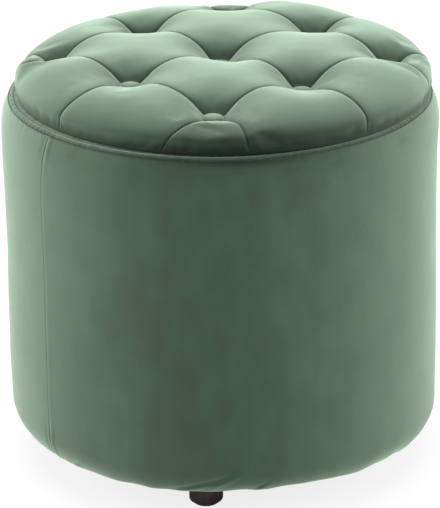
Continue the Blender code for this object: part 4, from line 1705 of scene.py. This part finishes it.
    def fit_bottom(self, angle: Array, radius: Array, height: Array) -> tuple[Array, Array]:
        """Gives the bottom edge its own rounding on each side of the tub.

        Args:
            angle: Angles round the tub.
            radius: Radii on the plain outline.
            height: Heights on the plain outline.

        Returns:
            The new radii and heights.
        """
        at, width, rise = np.array(self.rounding).T
        width = np.interp(self.bearing(angle), at, width)
        rise = np.interp(self.bearing(angle), at, rise)
        inner = self.wall_radius - self.round_width
        start = self.base + self.round_height
        low = height < start
        share = np.clip((start - height) / self.round_height, 0, 1)
        out = np.sqrt(np.clip(1 - share**2, 0, 1))
        outer = low & (radius > inner - 0.0001)
        new_radius = np.where(outer, self.wall_radius - width * (1 - out), radius)
        tucked = (radius - self.hem_radius) / (inner - self.hem_radius)
        new_radius = np.where(low & ~outer & (tucked > 0), self.hem_radius + tucked * (
            self.wall_radius - width - self.hem_radius), new_radius)
        new_height = np.where(outer, self.base + rise * (1 - share), height)
        wall = (self.shoulder_base - height) / (self.shoulder_base - start)
        new_height = np.where(~low & (height < self.shoulder_base), self.shoulder_base - wall * (
            self.shoulder_base - self.base - rise), new_height)
        sag = self.bottom_drop + sum(drop * hill(self.bearing(angle), middle, width)
                                     for middle, width, drop in self.loose)
        start, full = self.loose_span
        sag = sag * smooth_step(self.base + start, self.base + full, new_height)
        sag *= smooth_step(self.hem_radius, self.hem_radius + self.hem_hold, new_radius)
        return new_radius, new_height - sag

    def swell(self, angle: Array, height: Array) -> Array:
        """How far the padded wall stands out of round.

        Args:
            angle: Angles round the tub.
            height: Heights.

        Returns:
            The distance outwards at each point.
        """
        arc = round_form(self.lump_ring, angle, height)
        total = sum(rise * soft_noise(arc, size, seed) for rise, size, seed in self.lumps)
        for middle, level, half_width, half_height, out in self.bulges:
            away = degrees_apart(self.bearing(angle), middle)
            total += out * np.exp(-(away / half_width) ** 2
                                  - ((height - level) / half_height) ** 2)
        return total

    def fold_rise(self, angle: Array, height: Array) -> Array:
        """Height of the drawn folds near the bottom edge.

        Args:
            angle: Angles round the tub.
            height: Heights.

        Returns:
            How far the folds stand out at each point.
        """
        total = np.zeros(len(angle))
        bearing = self.bearing(angle)
        for fold in self.folds:
            reach = math.radians(fold.end[0] - fold.start[0]) * self.wall_radius
            line = np.array([reach, fold.end[1] - fold.start[1]])
            length = np.linalg.norm(line)
            along = line / length
            across = np.array([-along[1], along[0]])
            place = np.stack([
                np.radians(degrees_apart(bearing, fold.start[0])) * self.wall_radius,
                height - fold.start[1]], axis=1)
            run = place @ along / length
            side = place @ across / fold.width
            taper = smooth_step(-0.25, 0.2, run) * (1 - smooth_step(0.5, 1.1, run))
            shape = np.exp(-side**2) - 0.8 * hill(side, 1.6, 0.9)
            total += fold.height * taper * shape
        return total

    def press_marks(self, angle: Array, height: Array) -> Array:
        """Where the pile under the piping is dented and painted darker.

        Args:
            angle: Angles round the tub.
            height: Heights.

        Returns:
            From 0 to 1 at each point.
        """
        total = np.zeros(len(angle))
        for middle, level, size in self.presses:
            away = np.radians(degrees_apart(self.bearing(angle), middle))
            along = away * self.wall_radius / (size * 1.5)
            total += np.exp(-along**2 - ((height - level) / (size * 0.8)) ** 2)
        return np.clip(total, 0, 1)

    def build_sleeve(self) -> None:
        """Makes the velvet round the tub."""
        line = self.sleeve_line()
        rows = len(line) - 1
        piece, places = cloth_grid("tub_velvet", self.around, rows)
        angle = self.angles(places[:, 0], self.around, self.seam_crowding)
        row = rows - places[:, 1]
        across = self.from_seam(angle)
        radius, height = self.fit_bottom(angle, *line[row].T)
        angle = angle + self.seam_lean * smooth_step(0.300, self.top, height)
        wall = smooth_step(self.top, 0.3540, height)
        ends = np.clip(sum(smooth_step(*span, height) for span in self.seam_ends), 0, 1)
        beside, width = self.seam_ridge
        groove = (0.0001 + 0.0006 * ends) * (
            hill(across, beside, width) - 1.6 * hill(across, 0, self.seam_cut)
            - 0.8 * ends * hill(across, -beside, width))
        turned_in = row < len(self.turn_in)
        marks = self.press_marks(angle, height)
        out = wall * (self.swell(angle, height) - 0.0006 * marks) + self.fold_rise(angle, height)
        out += np.where(turned_in, 0, groove * (0.4 + 0.6 * wall))
        arc = on_ring(self.wall_radius, angle)
        under = smooth_step(self.base + 0.026, self.base, height)
        pull = hill(height, self.top, 0.0075)
        out += 0.00011 * soft_noise(arc, 0.0085, 31) * pull * ~turned_in
        ripple = soft_noise(arc, self.scallop_pitch, 5)
        out += 0.0003 * ripple * smooth_step(self.base + 0.050, self.base + 0.010, height)
        height = height + self.scallop * ripple * under
        points = round_form(radius + out, angle, height)
        write_points(piece, points)
        bearing = self.bearing(angle)
        # painted shade: the join's dark line, a band under the piping at the front and the slit
        # below the piping
        shade_mask = 0.8 * hill(across, 0, self.seam_line)
        shade_mask = shade_mask + hill(bearing, 9, 20) * smooth_step(0.3585, 0.3660, height)
        shade_mask = shade_mask + 0.9 * smooth_step(0.3665, 0.3671, height)
        # the rows turned in under the piping are painted in shade
        deep_in = row < len(self.turn_in) - 2
        write_mask(piece, "shade_mask", np.clip(np.where(deep_in, 0.95, shade_mask), 0, 1))
        write_mask(piece, "lean", -0.6 * smooth_step(0.3650, 0.3670, height))
        streaks = soft_noise(np.column_stack([arc, height * 0.12]), 0.022, 23)
        # band and shade: painted shade under the piping at the front and beside the join's ends
        band = smooth_step(0.3440, 0.3640, height) * (0.5 + 0.5 * np.cos(np.radians(bearing)))
        shade = 0.6 * ends * hill(across, -0.0035, 0.0035)
        # paler pile on the panel left of the join, and painted shade on the wall right of it
        brushed = np.where(across < 0, 1.6 * hill(across, -0.020, 0.020),
                           -1.1 * hill(across, 0.030, 0.035))
        nap_and_shade = (0.35 * soft_noise(points, 0.14, 21) + 0.14 * streaks - 1.4 * marks - 0.5 * band
               - shade + brushed)
        write_mask(piece, "nap_and_shade", nap_and_shade)
        weld(piece)
        smooth(piece)
        self.finishes.finish(piece, self.body, Slot.VELVET, ["outer_cover"])

    def build_foam(self) -> None:
        """Makes the foam round the shell, tucked under the floor panel's edge."""
        skin = self.sleeve_line()[len(self.turn_in) + 2:-4]
        along = np.gradient(skin, axis=0)
        normal = np.stack([along[:, 1], -along[:, 0]], axis=1)
        normal /= np.linalg.norm(normal, axis=1)[:, None]
        skin = skin + normal * self.foam_inset
        skin[:, 1] = np.minimum(skin[:, 1], self.foam_top)
        under = self.panel_base - self.foam_gap
        outline = [(self.foam_inner, under), (self.foam_inner, self.foam_top)]
        outline += [tuple(p) for p in skin]
        outline += [(skin[-1][0] - 0.0030, under), (self.foam_inner - 0.0040, under)]
        piece = turned("tub_foam", outline, 240)
        points = read_points(piece)
        angle = np.arctan2(points[:, 1], points[:, 0])
        away = far_from(points, 0, 0)
        outer = smooth_step(0.2000, 0.2060, away) * smooth_step(
            self.foam_top, 0.3500, points[:, 2])
        points[:, :2] *= ((away + outer * self.swell(angle, points[:, 2])) / away)[:, None]
        write_points(piece, points)
        weld(piece)
        smooth(piece, 40)
        self.finishes.finish(piece, self.body, Slot.FOAM, ["foam_wrap"])

    def lid_shadow(self, points: Array) -> Array:
        """Painted shadow that the lid's edge casts on the rim, from 0 to 1."""
        away = far_from(points, *self.lid_middle)
        return smooth_step(*self.lid_shade, away) * (1 - smooth_step(*self.lid_edge, away))

    def build_piping(self) -> None:
        """Makes the covered cord round the top edge, gathered along its seam."""
        around, rows = self.piping_cells
        piece, places = cloth_grid("edge_piping", around, rows)
        angle = self.angles(places[:, 0], around, self.piping_crowding)
        turn = places[:, 1] / rows * math.tau
        arc = on_ring(self.piping_ring, angle)
        sides = 0.55 + 0.45 * np.abs(np.sin(np.radians(self.bearing(angle))))
        skew = np.column_stack([arc, 0.0016 * np.cos(turn)])
        fine = soft_noise(skew, 0.0044, 8)
        pucker = fine + 0.6 * soft_noise(skew, 0.012, 9)
        across = self.from_seam(angle)
        join = 0.00045 * hill(across, 0.003, 0.0028) - 0.0005 * hill(across, 0, 0.0010)
        radius = self.piping_radius + self.pucker * pucker * sides + join
        radius = radius - 0.0004 * hill(np.cos(turn + math.radians(4)), 1, 0.02)
        ring = self.piping_ring + 0.0003 * soft_noise(arc, 0.09, 14)
        points = round_form(ring + radius * np.cos(turn), angle,
                            self.piping_height + radius * np.sin(turn))
        write_points(piece, points)
        # painted shade: the whole piping half darkened, its lower side over the sleeve, the
        # join's line and the lid's shadow
        lower = smooth_step(0.68, 0.77, np.cos(turn + math.radians(1)))
        shade_mask = 0.5 + 0.45 * lower + 0.5 * hill(across, 0, self.seam_line)
        shade_mask += self.lid_shadow(points)
        write_mask(piece, "shade_mask", np.clip(shade_mask, 0, 1))
        write_mask(piece, "lean", 0.6 * lower)
        write_mask(piece, "nap_and_shade", 0.5 + 0.8 * fine * sides)
        weld(piece)
        smooth(piece)
        self.finishes.finish(piece, self.body, Slot.VELVET, ["rim_piping"])

    def facing_line(self) -> Array:
        """Draws the facing, from beside the piping to the skirt's hem.

        Returns:
            Rows of radius and height.
        """
        level = self.facing_height
        flat = [(r, level) for r in np.linspace(0.1905, 0.1715, 9)]
        corner = self.skirt_radius + 0.0002
        drop = 0.3668  # where the bend into the mouth ends
        bend = [tuple(p) for p in cubic((0.1703, level), (0.1686, level),
                                        (corner, 0.3684), (corner, drop), 6)]
        skirt = [(corner - 0.0002 * share, drop + share * (self.skirt_base - drop))
                 for share in np.linspace(0, 1, 10)[1:]]
        return np.array(list(self.facing_roll) + flat + bend + skirt)

    def build_facing(self) -> None:
        """Makes the velvet strip over the rim board, turned down into the mouth."""
        line = self.facing_line()
        around, rows = self.facing_cells, len(line) - 1
        piece, places = cloth_grid("mouth_facing", around, rows)
        angle = self.angles(places[:, 0], around, self.facing_crowding)
        row = rows - places[:, 1]
        radius, height = line[row].T
        arc = on_ring(self.facing_ring, angle)
        roll = hill(row, 4, 2.2)
        wrinkle = soft_noise(arc, 0.0065, 41) + 0.7 * soft_noise(arc, 0.018, 42)
        height = height + 0.00024 * wrinkle * roll
        stitch = hill(row, 7.5, 0.8) * (0.5 + 0.5 * np.cos(angle * self.facing_stitches))
        height = height - 0.0002 * stitch
        skirt = smooth_step(rows - 12, rows, row)
        points = round_form(radius + 0.00035 * soft_noise(arc, 0.030, 43) * skirt, angle, height)
        write_points(piece, points)
        # painted shade: the roll's outer row, the stitch line, the join and the lid's shadow
        shade_mask = 0.5 * (row < 1) + 0.6 * stitch + 0.6 * hill(
            self.from_seam(angle), 0, self.seam_line) + self.lid_shadow(points)
        write_mask(piece, "shade_mask", np.clip(shade_mask, 0, 1))
        write_mask(piece, "nap_and_shade", 1.0 + 0.7 * wrinkle * roll)
        weld(piece)
        smooth(piece)
        self.finishes.finish(piece, self.body, Slot.VELVET, ["rim_facing"])


@dataclass
class TubLining:
    """The cloths inside and under the tub."""

    finishes: Finishes
    wave: float = 0.0002
    lining_cells: tuple[int, int] = (240, 40)
    lining_join: float = -0.6  # where it meets, as an angle
    lining_thickness: float = 0.0012
    dust_thickness: float = 0.0006
    dust_hem: float = 0.0090  # from its rim to the step over the velvet's hem
    step_width: float = 0.0020
    pad_edge: float = 0.0007
    staple_drop: float = 0.0004  # how far the crowns stand below the cloth
    staple_ring: float = 0.1728
    staples: int = 44
    body: Body = Body.BASE

    def build_lining(self) -> None:
        """Makes the cloth tube inside the well."""
        low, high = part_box("inner_lining")
        middle = (high.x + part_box("inner_floor_pad")[1].x + 0.0003) / 2
        length = high.z - low.z
        around, rows = self.lining_cells
        piece, places = cloth_grid("well_lining", around, rows)
        turn = places[:, 0] / around * math.tau + self.lining_join
        share = places[:, 1] / rows
        bow = 4 * share * (1 - share)
        noise = soft_noise(round_form(middle, turn, share * 0.09), 0.060, 51)
        write_points(piece, round_form(middle + self.wave * noise * bow, turn,
                                       low.z + share * length))
        scale_uv(piece, math.tau * middle, length)
        weld(piece)
        apply_modifier(piece, "SOLIDIFY", thickness=self.lining_thickness, offset=0)
        smooth(piece, 50)
        self.finishes.finish(piece, self.body, Slot.LINING, ["inner_lining"])

    def build_pad(self) -> None:
        """Makes the cloth-covered card on the well's floor."""
        low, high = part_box("inner_floor_pad")
        edge = self.pad_edge
        outline = [(0, low.z), (high.x - edge, low.z), (high.x - edge * 0.3, low.z + edge * 0.3),
                   (high.x, low.z + edge), (high.x, high.z - edge),
                   (high.x - edge * 0.3, high.z - edge * 0.3), (high.x - edge, high.z)]
        outline += [(r, high.z) for r in np.linspace(high.x - 0.004, 0.012, 12)]
        outline.append((0, high.z))
        piece = turned("well_floor_pad", outline, 144)
        points = read_points(piece)
        top = points[:, 2] > high.z - 0.0001
        points[top, 2] -= 0.0002 + 0.0002 * soft_noise(points[top, :2], 0.05, 52)
        write_points(piece, points)
        weld(piece)
        smooth(piece, 50)
        self.finishes.finish(piece, self.body, Slot.LINING, ["inner_floor_pad"],
                             self.finishes.flat_lining)

    def build_dust_cover(self) -> None:
        """Makes the black cloth under the base, stapled over the velvet's hem."""
        low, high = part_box("dust_cover")
        step = high.x - self.dust_hem
        piece = cloth_disc("base_dust_cloth", (low.z, high.z),
                           (step, step + self.step_width, high.x), self.dust_thickness, 61)
        self.finishes.finish(piece, self.body, Slot.BLACK_CLOTH, ["dust_cover"])
        ring = stapled_ring("base_staples", self.staple_ring, low.z - self.staple_drop,
                            self.staples, 62)
        self.finishes.finish(ring, self.body, Slot.STEEL)


@dataclass
class LidUnderside:
    """The cloth under the lid and its staples."""

    finishes: Finishes
    thickness: float = 0.0006
    hem: float = 0.0160  # from its rim to the step over the velvet's hem
    step_width: float = 0.0020
    staple_drop: float = 0.0002
    staple_ring: float = 0.1735
    staples: int = 40
    body: Body = Body.LID

    def build(self) -> None:
        """Makes the black cloth under the lid, stapled over the velvet's hem."""
        low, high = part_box("lid_underside_cloth")
        step = high.x - self.hem
        piece = cloth_disc("lid_base_cloth", (low.z, high.z),
                           (step, step + self.step_width, high.x), self.thickness, 71)
        self.finishes.finish(piece, self.body, Slot.BLACK_CLOTH, ["lid_underside_cloth"])
        ring = stapled_ring("lid_staples", self.staple_ring, low.z - self.staple_drop,
                            self.staples, 72)
        self.finishes.finish(ring, self.body, Slot.STEEL)


@dataclass
class Feet:
    """The four turned feet and their felt pads."""

    finishes: Finishes
    edge: float = 0.0034
    top_edge: float = 0.0016
    glide_edge: Triple = (0.0006, 0.0005, 0.0004)
    steps: int = 72
    body: Body = Body.BASE

    def build(self) -> None:
        """Turns each foot and its pad at its own place."""
        for number in range(1, 5):
            self.build_foot(number)
            self.build_glide(number)

    def build_foot(self, number: int) -> None:
        """Makes one wooden foot, rounded at its lower edge.

        Args:
            number: Which of the four.
        """
        middle, radius, low, high = standing(f"foot_{number}")
        outline = [(0, low), (radius - self.edge - 0.0010, low)]
        for turn in np.linspace(0, math.pi / 2, 9):
            outline.append((radius - self.edge * (1 - math.sin(turn)),
                            low + self.edge * (1 - math.cos(turn))))
        outline += [(radius, low + share * (high - low)) for share in (0.3, 0.6)]
        for turn in np.linspace(0, math.pi / 2, 6):
            outline.append((radius - self.top_edge * (1 - math.cos(turn)),
                            high - self.top_edge * (1 - math.sin(turn))))
        outline += [(radius - 0.0040, high), (0, high)]
        piece = turned(f"turned_foot_{number}", outline, self.steps, middle)
        weld(piece, 0.00001)
        smooth(piece, 35)
        self.finishes.finish(piece, self.body, Slot.WOOD, [f"foot_{number}"])

    def build_glide(self, number: int) -> None:
        """Makes one felt pad, pressed a little rounder at its edge.

        Args:
            number: Which of the four.
        """
        middle, radius, low, high = standing(f"foot_glide_{number}")
        lower, upper, top = self.glide_edge
        outline = [(0, low), (radius * 0.5, low), (radius - lower, low), (radius, low + lower),
                   (radius, high - upper), (radius - top, high), (radius * 0.5, high),
                   (0, high)]
        piece = turned(f"felt_glide_{number}", outline, self.steps // 2, middle)
        smooth(piece, 50)
        self.finishes.finish(piece, self.body, Slot.FELT, [f"foot_glide_{number}"])


@dataclass(frozen=True)
class Studio:
    """The plain pale studio and the camera."""

    eye: Triple = (0.1344, -3.0566, 1.3710)
    aim: Triple = (-0.0022, 0.0, 0.1984)
    roll: float = math.radians(-0.78)
    focal: float = 235.47  # millimetres, as the sensor's width
    sensor: float = 36.0
    floor_size: float = 12.0
    floor_white: float = 0.82
    floor_tone: float = 0.60
    ambient: float = 0.585
    lamp_aim: Triple = (0.0, 0.0, 0.25)

    def build(self) -> None:
        """Makes the camera, the floor, the lamps and the world."""
        self.place_camera()
        self.lay_floor()
        self.light_world()
        self.hang_lamp("overhead", (-0.1, 0.3, 2.35), 2.4, 51.0)
        self.hang_lamp("left", (-2.6, 0.0, 1.1), 1.6, 47.0)
        self.hang_lamp("right", (2.6, 0.1, 1.1), 1.6, 47.0)

    def place_camera(self) -> None:
        """Stands the camera where the picture was taken from."""
        data = bpy.data.cameras.new("camera")
        camera = bpy.data.objects.new("camera", data)
        bpy.context.scene.collection.objects.link(camera)
        data.sensor_width = self.sensor
        data.lens = self.focal
        look = (Vector(self.aim) - Vector(self.eye)).to_track_quat("-Z", "Y")
        camera.matrix_world = (Matrix.Translation(self.eye) @ look.to_matrix().to_4x4()
                               @ Matrix.Rotation(self.roll, 4, "Z"))
        bpy.context.scene.camera = camera

    def lay_floor(self) -> None:
        """A pale floor that keeps the pouf's soft shadow."""
        deselect()
        bpy.ops.mesh.primitive_plane_add(size=self.floor_size)
        floor = bpy.context.object
        floor.name = "floor"
        material = bpy.data.materials.new("pale_floor")
        material.use_nodes = True
        wiring = Wiring(material.node_tree)
        shader = material.node_tree.nodes["Principled BSDF"]
        path = wiring.add("LightPath").outputs["Is Camera Ray"]
        tone = wiring.blend(path, (self.floor_tone,) * 3, (1.0, 1.0, 1.0))
        set_shader(wiring, shader, Base_Color=tone, Roughness=0.9, Specular_IOR_Level=0.1)
        white = wiring.add("Emission", {"Color": (1, 1, 1, 1), "Strength": 1.0})
        share = wiring.maths("MULTIPLY", path, self.floor_white)
        mixed = wiring.add("MixShader", {0: share, 1: shader.outputs[0],
                                         2: white.outputs[0]})
        output = material.node_tree.nodes["Material Output"]
        material.node_tree.links.new(mixed.outputs[0], output.inputs["Surface"])
        floor.data.materials.append(material)

    def light_world(self) -> None:
        """An even pale surround: white to the eye, dimmer as a light."""
        world = bpy.data.worlds.new("surround")
        bpy.context.scene.world = world
        world.use_nodes = True
        wiring = Wiring(world.node_tree)
        white = world.node_tree.nodes["Background"]
        white.inputs[0].default_value = (1, 1, 1, 1)
        soft = wiring.add("Background", {"Color": (1, 1, 1, 1), "Strength": self.ambient})
        path = wiring.add("LightPath")
        seen = wiring.maths("MAXIMUM", path.outputs["Is Camera Ray"],
                            path.outputs["Is Glossy Ray"])
        seen = wiring.maths("MAXIMUM", seen, path.outputs["Is Transmission Ray"])
        mixed = wiring.add("MixShader", {0: seen, 1: soft.outputs[0], 2: white.outputs[0]})
        output = world.node_tree.nodes["World Output"]
        world.node_tree.links.new(mixed.outputs[0], output.inputs["Surface"])

    def hang_lamp(self, name: str, place: Triple, width: float, watts: float) -> None:
        """Hangs a large soft lamp that looks at the pouf.

        Args:
            name: The lamp's name.
            place: Where it hangs.
            width: Its diameter.
            watts: Its power.
        """
        data = bpy.data.lights.new(name, "AREA")
        data.shape = "DISK"
        data.size = width
        data.energy = watts
        lamp = bpy.data.objects.new(name, data)
        bpy.context.scene.collection.objects.link(lamp)
        lamp.location = place
        look = Vector(self.lamp_aim) - Vector(place)
        lamp.rotation_euler = look.to_track_quat("-Z", "Y").to_euler()


def main() -> None:
    """Dresses the pouf and sets it in the studio."""
    logging.basicConfig(level=logging.INFO, format="%(name)s: %(message)s")
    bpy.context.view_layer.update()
    bpy.context.scene.view_settings.view_transform = "Standard"
    finishes = Finishes()
    finishes.dress_nodes()
    Studio().build()
    lid = TuftedLid(finishes)
    lid.build_cover()
    lid.build_foam()
    lid.build_buttons()
    LidUnderside(finishes).build()
    tub = PaddedTub(finishes)
    tub.build_sleeve()
    tub.build_foam()
    tub.build_piping()
    tub.build_facing()
    lining = TubLining(finishes)
    lining.build_lining()
    lining.build_pad()
    lining.build_dust_cover()
    Feet(finishes).build()


if __name__ == "__main__":
    main()
